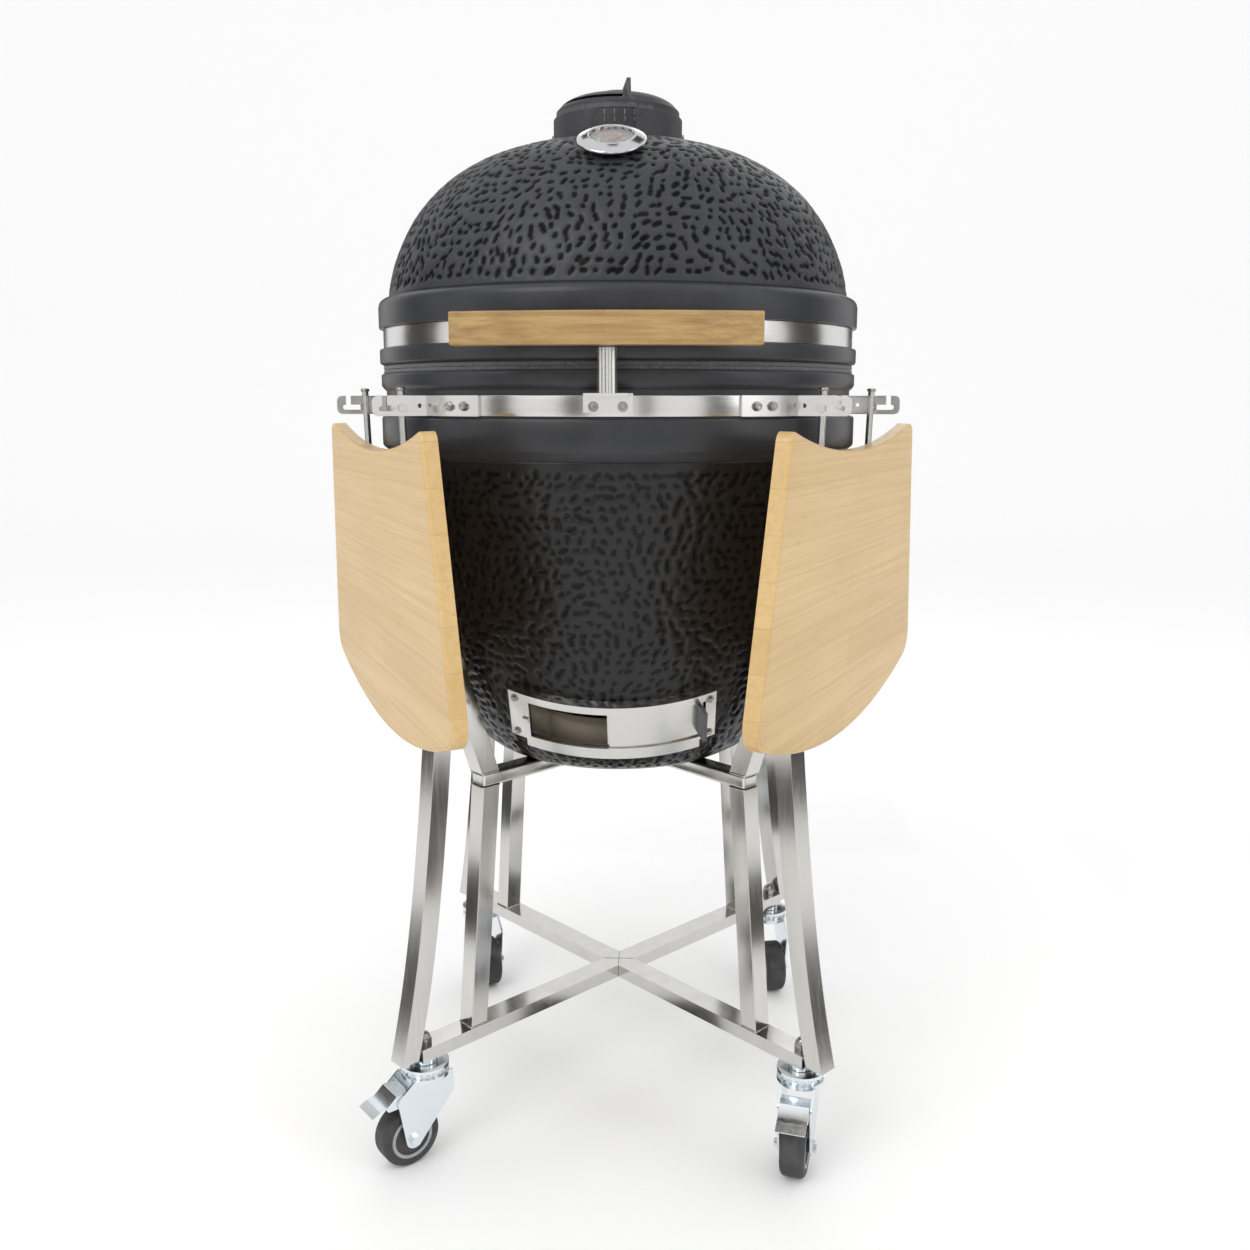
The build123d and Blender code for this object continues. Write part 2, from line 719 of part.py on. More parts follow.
with BuildPart() as top_vent_screws:
    for azimuth in (-90, 90):
        with BuildSketch(outward(azimuth, collar_r - 0.4, lid_top + 12)):
            Circle(3)
        extrude(amount=3)
    with BuildSketch(Plane.XY.offset(lid_top + 1)):
        Circle(collar_r)
    extrude(amount=collar_h - 2, mode=Mode.SUBTRACT)
save(top_vent_screws, "top_vent_screws")

# === thermometer ==============================================================================
with BuildPart() as thermometer_bezel:
    with BuildSketch(Plane(origin=therm.origin, x_dir=(1, 0, 0), z_dir=therm.y_dir * -1)):
        with BuildLine():
            Polyline(
                (probe_r + probe_fit, dial_seat / 2),
                (bezel_r - 8, dial_seat / 2),
                (bezel_r, bezel_h / 2 - 0.5),
                (bezel_r, bezel_h / 2 + 1.5),
                (dial_r + 2, bezel_h),
                (dial_r, bezel_h),
                (dial_r, dial_seat),
                (probe_r + probe_fit, dial_seat),
                close=True,
            )
        make_face()
    revolve(axis=Axis(therm.origin, therm.z_dir))
save(thermometer_bezel, "thermometer_bezel")


def therm_disc(radius, low, thick, name):
    with BuildPart() as disc:
        with BuildSketch(therm.offset(low)):
            Circle(radius)
        extrude(amount=thick)
    save(disc, name)


therm_disc(dial_r - 0.2, dial_seat, dial_t, "thermometer_dial")
therm_disc(dial_r - 0.2, glass_z, glass_t, "thermometer_glass")

with BuildPart() as thermometer_needle:
    with BuildSketch(therm.offset(needle_z)):
        Circle(needle_hub)
        with BuildLine():
            Polyline(*needle_points, close=True)
        make_face()
    extrude(amount=needle_t)
save(thermometer_needle, "thermometer_needle")

with BuildPart() as thermometer_probe:
    with BuildSketch(therm.offset(dial_seat - probe_len)):
        Circle(probe_r - probe_fit)
    extrude(amount=probe_len)
save(thermometer_probe, "thermometer_probe")


# === side shelves =============================================================================
def shelf_plane(side):
    """Plane of a hanging shelf through its pivot line: x level, y up the board, z outwards."""
    a, lean = radians(shelf_az), radians(shelf_lean)
    n = Vector(side * sin(a), -cos(a), 0)
    return Plane(
        origin=n * pivot_d + Vector(0, 0, pivot_z),
        x_dir=Vector(-n.Y, n.X, 0),
        z_dir=n * cos(lean) - Vector(0, 0, sin(lean)),
    )


def shelf(side, word):
    hang = shelf_plane(side)
    down = Plane(origin=hang.origin, x_dir=hang.x_dir, z_dir=hang.y_dir * -1)
    along = Plane(origin=hang.origin, x_dir=hang.y_dir, z_dir=hang.x_dir)
    top = -board_drop
    low = top - board_side
    with BuildPart() as rods:
        for end in (-1, 1):
            with BuildSketch(down.offset(-rod_up)):
                with Locations((end * rod_half, 0)):
                    Circle(rod_r)
            extrude(amount=rod_up + rod_down)
        for end in (-1, 1):
            reach = bracket_half + bracket_t / 2
            with BuildSketch(along.offset(end * (rod_half + rod_r - 1))):
                Circle(pin_r)
            extrude(amount=end * (reach - rod_half - rod_r + 4))
            with BuildSketch(along.offset(end * (reach + slot_gap))):
                RegularPolygon(5.5, 6)
            extrude(amount=end * 3.2)
    save(rods, f"shelf_rods_{word}")

    with BuildPart() as board:
        with BuildSketch(hang.offset(rod_seat)):
            with BuildLine():
                wide, broad = board_top_half, board_low_half
                upper = ThreePointArc((-wide, top), (0, top - board_hollow), (wide, top))
                lower = ThreePointArc((-broad, low), (0, low - board_bulge), (broad, low))
                Line(upper @ 0, lower @ 0)
                Line(upper @ 1, lower @ 1)
            make_face()
            fillet(vertices().group_by(Axis.Y)[-1], 12)
            fillet(vertices().group_by(Axis.Y)[0], 32)
        extrude(amount=board_t)
        fillet(board.faces().sort_by(Axis(hang.origin, hang.z_dir))[-1].edges(), 4)
        for end in (-1, 1):
            with BuildSketch(down.offset(board_drop)):
                with Locations((end * rod_half, 0)):
                    Circle(rod_r + 0.1)
            extrude(amount=rod_down, mode=Mode.SUBTRACT)
    save(board, f"shelf_board_{word}")


for side, word in ((-1, "left"), (1, "right")):
    shelf(side, word)

plate_out = band_r + bracket_t
with BuildPart() as shelf_brackets:
    for side in (-1, 1):
        for end in (-1, 1):
            root = degrees(asin(bracket_half / band_r))
            tail = bolt_az[1] + 3.8
            a_deg, b_deg = sorted(side * (shelf_az + end * reach) for reach in (root, tail))
            with BuildSketch(Plane.XY.offset(lower_band_z)):
                add(sector(band_r, plate_out, a_deg, b_deg))
            extrude(amount=lower_band_h)
            a = radians(shelf_az)
            n = Vector(side * sin(a), -cos(a), 0)
            t = Vector(-n.Y, n.X, 0)
            along = Plane(origin=t * (end * bracket_half), x_dir=n, z_dir=n.cross(Vector(0, 0, 1)))
            with BuildSketch(along.offset(-bracket_t / 2)):
                mid = lower_band_z + lower_band_h / 2
                near = sqrt(band_r**2 - bracket_half**2) + 1
                with Locations(((near + bracket_reach) / 2, mid)):
                    RectangleRounded(bracket_reach - near, lower_band_h, 7)
                with Locations((near + 4, mid)):
                    Rectangle(8, lower_band_h)
                slot_h = 2 * (pin_r + slot_gap)
                slot_end = bracket_reach - 10
                with Locations(((pivot_d + slot_end) / 2, pivot_z)):
                    SlotOverall(slot_end - pivot_d + slot_h, slot_h, mode=Mode.SUBTRACT)
                with Locations((slot_end - 4, mid + 6)):
                    Rectangle(slot_h, 14, mode=Mode.SUBTRACT)
                with Locations((near + 9, mid)):
                    Circle(2.5, mode=Mode.SUBTRACT)
            extrude(amount=bracket_t)
    with BuildSketch(Plane.XY.offset(lower_band_z - 1)):
        Circle(band_r)
    extrude(amount=lower_band_h + 2, mode=Mode.SUBTRACT)
    for azimuth in bolt_places()[:-2]:
        with BuildSketch(outward(azimuth, band_r - 5, bolt_z)):
            Circle(bolt_r + bolt_fit)
        extrude(amount=20, mode=Mode.SUBTRACT)
save(shelf_brackets, "shelf_brackets")

with BuildPart() as lower_band_bolts:
    for azimuth in bolt_places():
        on_rest = abs(azimuth) < 10
        face = (band_r + rest_bolt_out) / cos(radians(azimuth)) if on_rest else plate_out + 0.1
        washer_r, washer_h, head_r, head_h = bolt_head
        with BuildSketch(outward(azimuth, seat_r, bolt_z)):
            Circle(bolt_r)
        extrude(amount=face + washer_h + head_h - seat_r)
        with BuildSketch(outward(azimuth, face, bolt_z)):
            Circle(washer_r)
        extrude(amount=washer_h)
        with BuildSketch(outward(azimuth, face + washer_h, bolt_z)):
            RegularPolygon(head_r, 6)
        extrude(amount=head_h)
save(lower_band_bolts, "lower_band_bolts")


# === stand ====================================================================================
def leg_slab(angle, points, depth, width):
    """Slab in a diagonal plane between two curves, half the depth each side of the middle line."""
    with BuildPart(mode=Mode.PRIVATE) as slab:
        with BuildSketch(radial(angle).offset(-width / 2)):
            with BuildLine():
                out = Spline(*[(r + depth / 2, z) for r, z in points])
                back = Spline(*[(r - depth / 2, z) for r, z in points])
                Line(out @ 0, back @ 0)
                Line(out @ 1, back @ 1)
            make_face()
        extrude(amount=width)
    return slab.part


def straight_tube(angle, low, high, depth):
    """Square tube in a diagonal plane between two (radius, height) points, cut level at its ends."""
    with BuildPart(mode=Mode.PRIVATE) as piece:
        for cut, mode in ((0.0, Mode.ADD), (tube_wall, Mode.SUBTRACT)):
            h, width = depth / 2 - cut, tube_w - 2 * cut
            with BuildSketch(radial(angle).offset(-width / 2)):
                with BuildLine():
                    corners_of = [(low[0] - h, low[1]), (low[0] + h, low[1])]
                    corners_of += [(high[0] + h, high[1]), (high[0] - h, high[1])]
                    Polyline(*corners_of, close=True)
                make_face()
            extrude(amount=width, mode=mode)
    return piece.part


leg_bore = [(r, z + tube_wall * side) for (r, z), side in zip(leg_line, (-1, 0, 0, 0, -3))]
for corner, angle in corners.items():
    with BuildPart() as leg:
        add(leg_slab(angle, leg_line, leg_d, tube_w))
        add(leg_slab(angle, leg_bore, leg_d - 2 * tube_wall, tube_w - 2 * tube_wall), mode=Mode.SUBTRACT)
    save(leg, f"outer_leg_{corner}")

with BuildPart() as inner_posts:
    for angle in corners.values():
        add(straight_tube(angle, (post_foot_r, beam_top), (post_top_r, cross_z), post_d))
save(inner_posts, "inner_posts")

with BuildPart() as cradle_arms:
    for angle in corners.values():
        foot = post_top_r + 1
        add(straight_tube(angle, (foot, foot_z), (foot + arm_out, foot_z + arm_rise), arm_d))
        (r0, z0), (r1, z1) = leg_line[0], leg_line[1]
        slope = (r1 - r0) / (z0 - z1)
        with BuildSketch(radial(angle).offset(-tube_w)):
            with BuildLine():
                inner = r0 - leg_d / 2 - arm_gap
                Polyline(
                    (inner - 60 * slope, z0 + 60),
                    (inner + 120 * slope, z0 - 120),
                    (inner + 90, z0 - 120),
                    (inner + 90, z0 + 60),
                    close=True,
                )
            make_face()
        extrude(amount=2 * tube_w, mode=Mode.SUBTRACT)
save(cradle_arms, "cradle_arms")

with BuildPart() as upper_cross:
    with BuildSketch(Plane.XY.offset(cross_z)):
        for angle in (45, 135):
            with Locations(Rotation(0, 0, angle)):
                Rectangle(2 * (post_top_r + post_d / 2), tube_w)
    extrude(amount=cross_t)
save(upper_cross, "upper_cross")

(r0, z0), (r1, z1) = leg_line[-2:]
beam_end = r1 + (r0 - r1) * (beam_top - z1) / (z0 - z1) - leg_d / 2 - 2 * arm_gap
with BuildPart() as lower_cross:
    with BuildSketch(Plane.XY.offset(beam_z)):
        with Locations(Rotation(0, 0, 45)):
            Rectangle(2 * beam_end, beam_w)
        with Locations(Rotation(0, 0, 135)):
            Rectangle(2 * beam_end, beam_w)
    extrude(amount=beam_t)
    with BuildSketch(Plane.XY.offset(beam_z + tube_wall)):
        for angle in (45, 135):
            with Locations(Rotation(0, 0, angle)):
                Rectangle(2 * beam_end, beam_w - 2 * tube_wall)
    extrude(amount=beam_t - 2 * tube_wall, mode=Mode.SUBTRACT)
    for angle in corners.values():
        a = radians(angle)
        with BuildSketch(Plane.XY.offset(beam_z)):
            with Locations((stem_rho * cos(a), stem_rho * sin(a))):
                Circle(stem_r + 0.1)
        extrude(amount=beam_t, mode=Mode.SUBTRACT)
save(lower_cross, "lower_cross")

# === casters ==================================================================================
upright = (Align.CENTER, Align.CENTER, Align.MIN)
with BuildPart() as caster_stems:
    for angle in corners.values():
        a = radians(angle)
        with Locations((stem_rho * cos(a), stem_rho * sin(a), fork_low - 4)):
            Cylinder(stem_head_r, 4 - stack_gap, align=upright)
            Cylinder(stem_r, beam_top + 10 - fork_low + 4, align=upright)
        with Locations((stem_rho * cos(a), stem_rho * sin(a), fork_top + stack_gap)):
            Cylinder(collar_out, beam_z - fork_top - stack_gap, align=upright)
save(caster_stems, "caster_stems")

with BuildPart() as stem_nuts:
    for angle in corners.values():
        a = radians(angle)
        spot = (stem_rho * cos(a), stem_rho * sin(a))
        with BuildSketch(Plane.XY.offset(beam_top)):
            with Locations(spot):
                RegularPolygon(9.5, 6)
        extrude(amount=8)
        with Locations((*spot, beam_top + 8)):
            Sphere(7.5, arc_size1=0, align=upright)
        with BuildSketch(Plane.XY.offset(beam_top)):
            with Locations(spot):
                Circle(stem_r + 0.1)
        extrude(amount=10.2, mode=Mode.SUBTRACT)
save(stem_nuts, "stem_nuts")


def caster_plane(corner):
    """Upright plane along a caster's heading: x from the stem towards the wheel, y up."""
    a, h = radians(corners[corner]), radians(headings[corner])
    spot = (stem_rho * cos(a), stem_rho * sin(a), 0)
    return Plane(origin=spot, x_dir=(cos(h), sin(h), 0), z_dir=(sin(h), -cos(h), 0))


def caster(corner):
    side = caster_plane(corner)
    flat = Plane(origin=side.origin, x_dir=side.x_dir, z_dir=(0, 0, 1))
    inner = wheel_w / 2 + fork_gap
    with BuildPart() as fork:
        with BuildSketch(flat.offset(fork_low)):
            Circle(fork_r)
        extrude(amount=5)
        with BuildSketch(flat.offset(fork_low + 5)):
            Circle(fork_r - 4)
        extrude(amount=fork_top - fork_low - 9)
        with BuildSketch(flat.offset(fork_top - 4)):
            Circle(fork_r)
        extrude(amount=4)
        for way in (-1, 1):
            with BuildSketch(side.offset(way * (inner + fork_t / 2) - fork_t / 2)):
                with BuildSketch(mode=Mode.PRIVATE) as corners_of:
                    with Locations((trail, wheel_r)):
                        Circle(fork_foot_r)
                    with Locations(pedal_pivot):
                        Circle(pedal_boss_r)
                    with Locations(fork_shoulder):
                        Circle(shoulder_r)
                    with Locations((0, fork_low + 1)):
                        Rectangle(2 * fork_r - 4, 6)
                make_hull(corners_of.sketch.edges())
            extrude(amount=fork_t)
        with BuildSketch(flat.offset(fork_low - 1)):
            Circle(stem_r + run_fit)
        extrude(amount=30, mode=Mode.SUBTRACT)
        with BuildSketch(flat.offset(fork_low - 30)):
            Circle(stem_head_r + stack_gap)
        extrude(amount=30, mode=Mode.SUBTRACT)
        with BuildSketch(side.offset(-inner - fork_t)):
            with Locations((trail, wheel_r)):
                Circle(axle_r)
        extrude(amount=2 * inner + 2 * fork_t)
        for low in (-inner - fork_t - 5, inner + fork_t):
            with BuildSketch(side.offset(low)):
                with Locations((trail, wheel_r)):
                    RegularPolygon(7, 6)
            extrude(amount=5)
        if corner in braked:
            with BuildSketch(side.offset(-inner - fork_t)):
                with Locations(pedal_pivot):
                    Circle(2.5)
            extrude(amount=2 * inner + 2 * fork_t)
    save(fork, f"caster_fork_{corner}")

    with BuildPart() as tyre:
        with BuildSketch(side.offset(-wheel_w / 2)):
            with Locations((trail, wheel_r)):
                Circle(wheel_r)
        extrude(amount=wheel_w)
        fillet(tyre.edges(), 6)
        with BuildSketch(side.offset(-wheel_w / 2)):
            with Locations((trail, wheel_r)):
                Circle(hub_r)
        extrude(amount=wheel_w, mode=Mode.SUBTRACT)
    save(tyre, f"caster_tyre_{corner}")

    with BuildPart() as hub:
        with BuildSketch(side.offset(-wheel_w / 2 + 1.5)):
            with Locations((trail, wheel_r)):
                Circle(hub_r)
        extrude(amount=wheel_w - 3)
        for low in (-wheel_w / 2, wheel_w / 2 - 2.5):
            with BuildSketch(side.offset(low)):
                with Locations((trail, wheel_r)):
                    Circle(hub_r - 2)
                    Circle(12, mode=Mode.SUBTRACT)
            extrude(amount=2.5, mode=Mode.SUBTRACT)
        with BuildSketch(side.offset(-inner + stack_gap)):
            with Locations((trail, wheel_r)):
                Circle(8)
        extrude(amount=2 * inner - 2 * stack_gap)
        with BuildSketch(side.offset(-inner)):
            with Locations((trail, wheel_r)):
                Circle(axle_r + run_fit)
        extrude(amount=2 * inner, mode=Mode.SUBTRACT)
    save(hub, f"caster_hub_{corner}")

    if corner in braked:
        px, pz = pedal_pivot
        half_w = inner - stack_gap
        with BuildPart() as pedal:
            with BuildSketch(side.offset(-half_w)):
                with BuildLine():
                    Polyline(*[(px + u, pz + v) for u, v in pedal_line])
                    offset(amount=pedal_t, side=Side.LEFT)
                make_face()
            extrude(amount=2 * half_w)
            for way in (-1, 1):
                with BuildSketch(side.offset(way * (half_w - 1) - 1)):
                    with BuildSketch(mode=Mode.PRIVATE) as ear:
                        with Locations((px, pz)):
                            Circle(pedal_boss_r - 2)
                        with Locations((px + 2, pz + 9)):
                            Rectangle(14, 1)
                        with Locations((px + 18, pz - 3)):
                            Circle(3)
                    make_hull(ear.sketch.edges())
                extrude(amount=2)
            with BuildSketch(side.offset(-inner - 1)):
                with Locations((px, pz)):
                    Circle(2.5 + run_fit)
            extrude(amount=2 * inner + 2, mode=Mode.SUBTRACT)
        save(pedal, f"brake_pedal_{corner}")


for corner in corners:
    caster(corner)
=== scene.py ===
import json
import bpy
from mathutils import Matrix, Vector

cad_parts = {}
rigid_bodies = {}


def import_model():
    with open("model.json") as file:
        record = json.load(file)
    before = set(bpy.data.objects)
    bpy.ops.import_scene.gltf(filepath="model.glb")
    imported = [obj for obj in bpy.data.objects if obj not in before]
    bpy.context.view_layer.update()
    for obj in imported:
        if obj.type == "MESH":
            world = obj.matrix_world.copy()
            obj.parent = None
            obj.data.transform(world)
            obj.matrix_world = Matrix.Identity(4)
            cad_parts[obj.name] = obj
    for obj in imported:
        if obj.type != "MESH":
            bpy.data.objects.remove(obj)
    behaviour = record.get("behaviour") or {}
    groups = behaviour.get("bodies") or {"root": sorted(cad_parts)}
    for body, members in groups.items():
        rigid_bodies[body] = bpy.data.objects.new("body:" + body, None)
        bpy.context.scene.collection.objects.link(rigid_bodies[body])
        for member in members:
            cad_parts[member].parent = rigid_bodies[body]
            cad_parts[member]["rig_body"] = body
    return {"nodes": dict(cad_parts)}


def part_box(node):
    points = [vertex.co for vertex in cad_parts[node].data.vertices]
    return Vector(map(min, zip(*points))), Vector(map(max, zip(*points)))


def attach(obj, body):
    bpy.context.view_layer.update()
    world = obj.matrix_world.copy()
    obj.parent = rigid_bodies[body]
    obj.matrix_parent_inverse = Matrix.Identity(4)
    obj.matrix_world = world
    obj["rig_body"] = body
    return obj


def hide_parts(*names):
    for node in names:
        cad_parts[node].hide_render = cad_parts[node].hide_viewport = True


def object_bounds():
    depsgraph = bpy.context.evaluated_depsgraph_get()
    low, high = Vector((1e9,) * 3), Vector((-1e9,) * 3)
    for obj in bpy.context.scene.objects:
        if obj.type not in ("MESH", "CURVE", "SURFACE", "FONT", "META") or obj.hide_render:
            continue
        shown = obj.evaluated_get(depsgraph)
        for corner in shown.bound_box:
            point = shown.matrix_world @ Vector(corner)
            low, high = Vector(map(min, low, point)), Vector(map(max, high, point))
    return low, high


bl_info = {
    "name": "Kamado grill",
    "version": (1, 0, 0),
    "blender": (4, 5, 0),
    "location": "View3D > Sidebar > Kamado",
    "description": "Makes the finished surfaces and fine parts of a kamado grill around its CAD frame",
    "category": "Object",
}

from math import asin, cos, degrees, pi, radians, sin, sqrt

import bmesh
import bpy
import numpy as np
from bpy.props import FloatProperty, FloatVectorProperty, IntProperty, PointerProperty
from mathutils import Matrix, Vector, kdtree, noise

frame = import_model()
CAD_BOX = [list(corner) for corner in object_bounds()]
MM = 0.001
CORNERS = ("fl", "fr", "rl", "rr")
SIDES = {"left": -1, "right": 1}
QUARTERS = (45, 135, 225, 315)  # degrees from +X of the four legs
LEG_AZIMUTHS = {"fl": 225, "fr": 315, "rl": 135, "rr": 45}  # degrees from +X
AXLE_HEADINGS = {"fl": 220, "fr": 255, "rl": 295, "rr": 280}  # degrees each caster faces, from the front
BOARD_AZIMUTH = 63.9  # degrees each side shelf stands from the front
ROD_HALF = 91 * MM  # shelf rods from the middle of their board
STEM_OUT = 323.6 * MM  # caster stems from the axis
DIAL_CENTRE = (0, -0.187, 1.1855)  # middle of the thermometer's seat on the dome
DIAL_TILT = 33  # degrees the dial leans back from level
SHELF_PIVOT = (0.3035, 0.906)  # distance of the shelf pivots from the axis, and their height
SHELF_LEAN = 1.6  # degrees each hanging board leans out
DRAFT_SEAT = (0, -0.2185, 0.534)  # middle of the draft frame's face
DRAFT_RADIUS = 255.0  # mm, radius of the curved frame
DRAFT_TILT = 30.3  # degrees the frame leans back


# --- settings ---------------------------------------------------------------------------------
def length(name, description, default):
    return FloatProperty(name=name, description=description, default=default, unit="LENGTH", precision=4)


def colour(name, description, default):
    return FloatVectorProperty(
        name=name, description=description, default=default, size=3, min=0, max=1, subtype="COLOR"
    )


class CeramicSettings(bpy.types.PropertyGroup):
    glaze: colour("Glaze", "Colour of the glazed ceramic", (0.027, 0.028, 0.0325))
    # Belly glaze: painted shade, a darker copy of the glaze for the belly that faces down, away from the
    # light.
    belly_glaze: colour("Belly glaze", "Colour of the glossier belly", (0.0115, 0.011, 0.0115))
    # Pit colour: painted shade laid into the pits of the glaze, where they fall into shade.
    pit_glaze: colour("Pit glaze", "Colour of the glaze pooled in the pits", (0.0025, 0.0025, 0.003))
    fire_clay: colour("Fire clay", "Colour of the unglazed fire clay", (0.56, 0.48, 0.38))
    pit_pitch: length("Pit pitch", "Distance between neighbouring pits", 0.0134)
    pit_width: length("Pit width", "Width of a pit", 0.0060)
    pit_short: length("Short pit", "Length of the shortest pits", 0.0064)
    pit_long: length("Long pit", "Length of the longest pits", 0.0138)
    pit_depth: length("Pit depth", "Depth of a pit", 0.0021)
    lid_segments: IntProperty(name="Lid segments", description="Faces round the dome", default=620)
    base_segments: IntProperty(name="Base segments", description="Faces round the belly", default=560)
    ring_segments: IntProperty(name="Ring segments", description="Faces round the smooth rims", default=240)


class MetalSettings(bpy.types.PropertyGroup):
    polished: colour("Polished steel", "Colour of the stand's tubes", (0.66, 0.645, 0.62))
    brushed: colour("Brushed steel", "Colour of the bands and the draft door", (0.72, 0.71, 0.69))
    bolt: colour("Bolts", "Colour of the bolts and nuts", (0.40, 0.39, 0.375))
    zinc: colour("Zinc", "Colour of the plated casters", (0.80, 0.85, 0.885))
    chrome: colour("Chrome", "Colour of the thermometer's ring", (0.60, 0.60, 0.61))
    iron: colour("Iron", "Colour of the painted cast iron", (0.024, 0.024, 0.0275))
    tube_round: length("Tube rounding", "Radius of the tubes' corners", 0.0036)
    bead: length("Weld bead", "Radius of the weld beads", 0.0011)


class WoodSettings(bpy.types.PropertyGroup):
    board_light: colour("Light plank", "Lightest plank of the shelves", (0.68, 0.475, 0.215))
    board_dark: colour("Dark plank", "Darkest plank of the shelves", (0.55, 0.35, 0.13))
    strip_light: colour("Light strip", "Lightest strip of the handle", (0.46, 0.305, 0.115))
    strip_dark: colour("Dark strip", "Darkest strip of the handle", (0.26, 0.14, 0.04))
    plank_width: length("Plank width", "Width of a shelf plank", 0.046)
    plank_length: length("Plank length", "Length of a shelf plank", 0.62)
    strip_height: length("Strip height", "Height of a strip in the handle", 0.0083)
    strip_length: length("Strip length", "Length of a strip in the handle", 1.3)


class DialSettings(bpy.types.PropertyGroup):
    face: colour("Dial", "Colour of the dial", (0.27, 0.27, 0.28))
    warm: colour("Warm zone", "Colour of the low and high zones", (0.85, 0.62, 0.06))
    hot: colour("Hot zone", "Colour of the middle zone", (0.72, 0.09, 0.04))
    zone_radius: length("Zone radius", "Radius of the coloured zone", 0.0135)
    tick_radius: length("Tick radius", "Radius of the ticks", 0.0205)
    ticks: IntProperty(name="Ticks", description="Ticks round the dial", default=33)


class StageSettings(bpy.types.PropertyGroup):
    floor: colour("Floor", "Colour of the floor", (0.95, 0.95, 0.95))
    card: colour("Cards", "Colour of the dark cards that the metal mirrors", (0.035, 0.028, 0.022))
    sky: FloatProperty(name="Sky", description="Strength of the even light", default=1.0)
    key: FloatProperty(name="Key", description="Power of the main soft box", default=30.0, unit="POWER")
    fill: FloatProperty(name="Fill", description="Power of the side soft boxes", default=9.0, unit="POWER")
    lens: FloatProperty(name="Lens", description="Focal length in millimetres", default=34.18)


def ceramic():
    return bpy.context.scene.kamado_ceramic


def metal():
    return bpy.context.scene.kamado_metal


def wood():
    return bpy.context.scene.kamado_wood


def dial():
    return bpy.context.scene.kamado_dial


# --- shader groups and materials --------------------------------------------------------------
def new_group(name, inputs, outputs):
    """Shader node group with the given sockets; returns the tree and its two end nodes."""
    tree = bpy.data.node_groups.new(name, "ShaderNodeTree")
    for in_out, sockets in (("INPUT", inputs), ("OUTPUT", outputs)):
        for label, kind, default in sockets:
            socket = tree.interface.new_socket(name=label, in_out=in_out, socket_type="NodeSocket" + kind)
            if default is not None:
                socket.default_value = default
    return tree, tree.nodes.new("NodeGroupInput"), tree.nodes.new("NodeGroupOutput")


def add_node(tree, kind, values=(), **settings):
    """New node with its settings, and its input sockets from (name, value or socket) pairs."""
    node = tree.nodes.new(kind)
    for key, value in settings.items():
        setattr(node, key, value)
    for key, value in values:
        if isinstance(value, bpy.types.NodeSocket):
            tree.links.new(value, node.inputs[key])
        else:
            node.inputs[key].default_value = value
    return node


def math_node(tree, operation, first, second, **settings):
    node = add_node(tree, "ShaderNodeMath", [(0, first), (1, second)], operation=operation, **settings)
    return node.outputs[0]


def mix_colour(tree, factor, first, second):
    pairs = [(0, factor), (6, first), (7, second)]
    return add_node(tree, "ShaderNodeMix", pairs, data_type="RGBA").outputs[2]


def rgba(value):
    return (*value, 1.0)


def shaded(value, factor):
    return rgba([c * factor for c in value])


def grain_group():
    """Streaks or specks: noise on stretched coordinates, as a value round one half."""
    tree, start, end = new_group(
        "Stretched grain",
        [("Vector", "Vector", None), ("Stretch", "Vector", (1, 1, 1)), ("Detail", "Float", 4.0)],
        [("Value", "Float", None)],
    )
    scaled = add_node(
        tree, "ShaderNodeVectorMath",
        [(0, start.outputs["Vector"]), (1, start.outputs["Stretch"])], operation="MULTIPLY",
    )
    texture = add_node(
        tree, "ShaderNodeTexNoise",
        [
            ("Vector", scaled.outputs[0]), ("Scale", 1.0),
            ("Detail", start.outputs["Detail"]), ("Roughness", 0.6),
        ],
    )
    tree.links.new(texture.outputs["Fac"], end.inputs["Value"])
    return tree


def dust_group():
    """Fine dust that lies mostly on faces that look up."""
    tree, start, end = new_group(
        "Dust",
        [
            ("Vector", "Vector", None), ("Colour", "Color", (0.5, 0.5, 0.5, 1)),
            ("Dust colour", "Color", (0.42, 0.41, 0.39, 1)), ("Amount", "Float", 0.1),
        ],
        [("Colour", "Color", None)],
    )
    facing = add_node(tree, "ShaderNodeNewGeometry")
    split = add_node(tree, "ShaderNodeSeparateXYZ", [("Vector", facing.outputs["Normal"])])
    up = add_node(
        tree, "ShaderNodeMapRange",
        [
            ("Value", split.outputs["Z"]),
            ("From Min", -0.4), ("From Max", 1.0), ("To Min", 0.25), ("To Max", 1.0),
        ],
    )
    cloud = add_node(
        tree, "ShaderNodeTexNoise", [("Vector", start.outputs["Vector"]), ("Scale", 34.0), ("Detail", 6.0)]
    )
    spread = add_node(
        tree, "ShaderNodeMapRange",
        [("Value", cloud.outputs["Fac"]), ("From Min", 0.4), ("From Max", 0.7)],
    )
    both = math_node(tree, "MULTIPLY", up.outputs[0], spread.outputs[0])
    share = math_node(tree, "MULTIPLY", both, start.outputs["Amount"])
    mixed = mix_colour(tree, share, start.outputs["Colour"], start.outputs["Dust colour"])
    tree.links.new(mixed, end.inputs["Colour"])
    return tree


def wear_group():
    """Mask of the exposed edges, broken up by noise."""
    tree, start, end = new_group(
        "Edge wear", [("Vector", "Vector", None), ("Amount", "Float", 0.5)], [("Mask", "Float", None)]
    )
    geometry = add_node(tree, "ShaderNodeNewGeometry")
    edge = add_node(
        tree, "ShaderNodeMapRange",
        [("Value", geometry.outputs["Pointiness"]), ("From Min", 0.51), ("From Max", 0.6)],
    )
    broken = add_node(
        tree, "ShaderNodeTexNoise", [("Vector", start.outputs["Vector"]), ("Scale", 210.0), ("Detail", 3.0)]
    )
    product = math_node(tree, "MULTIPLY", edge.outputs[0], broken.outputs["Fac"])
    mask = math_node(tree, "MULTIPLY", product, start.outputs["Amount"], use_clamp=True)
    tree.links.new(mask, end.inputs["Mask"])
    return tree


GROUPS = {}


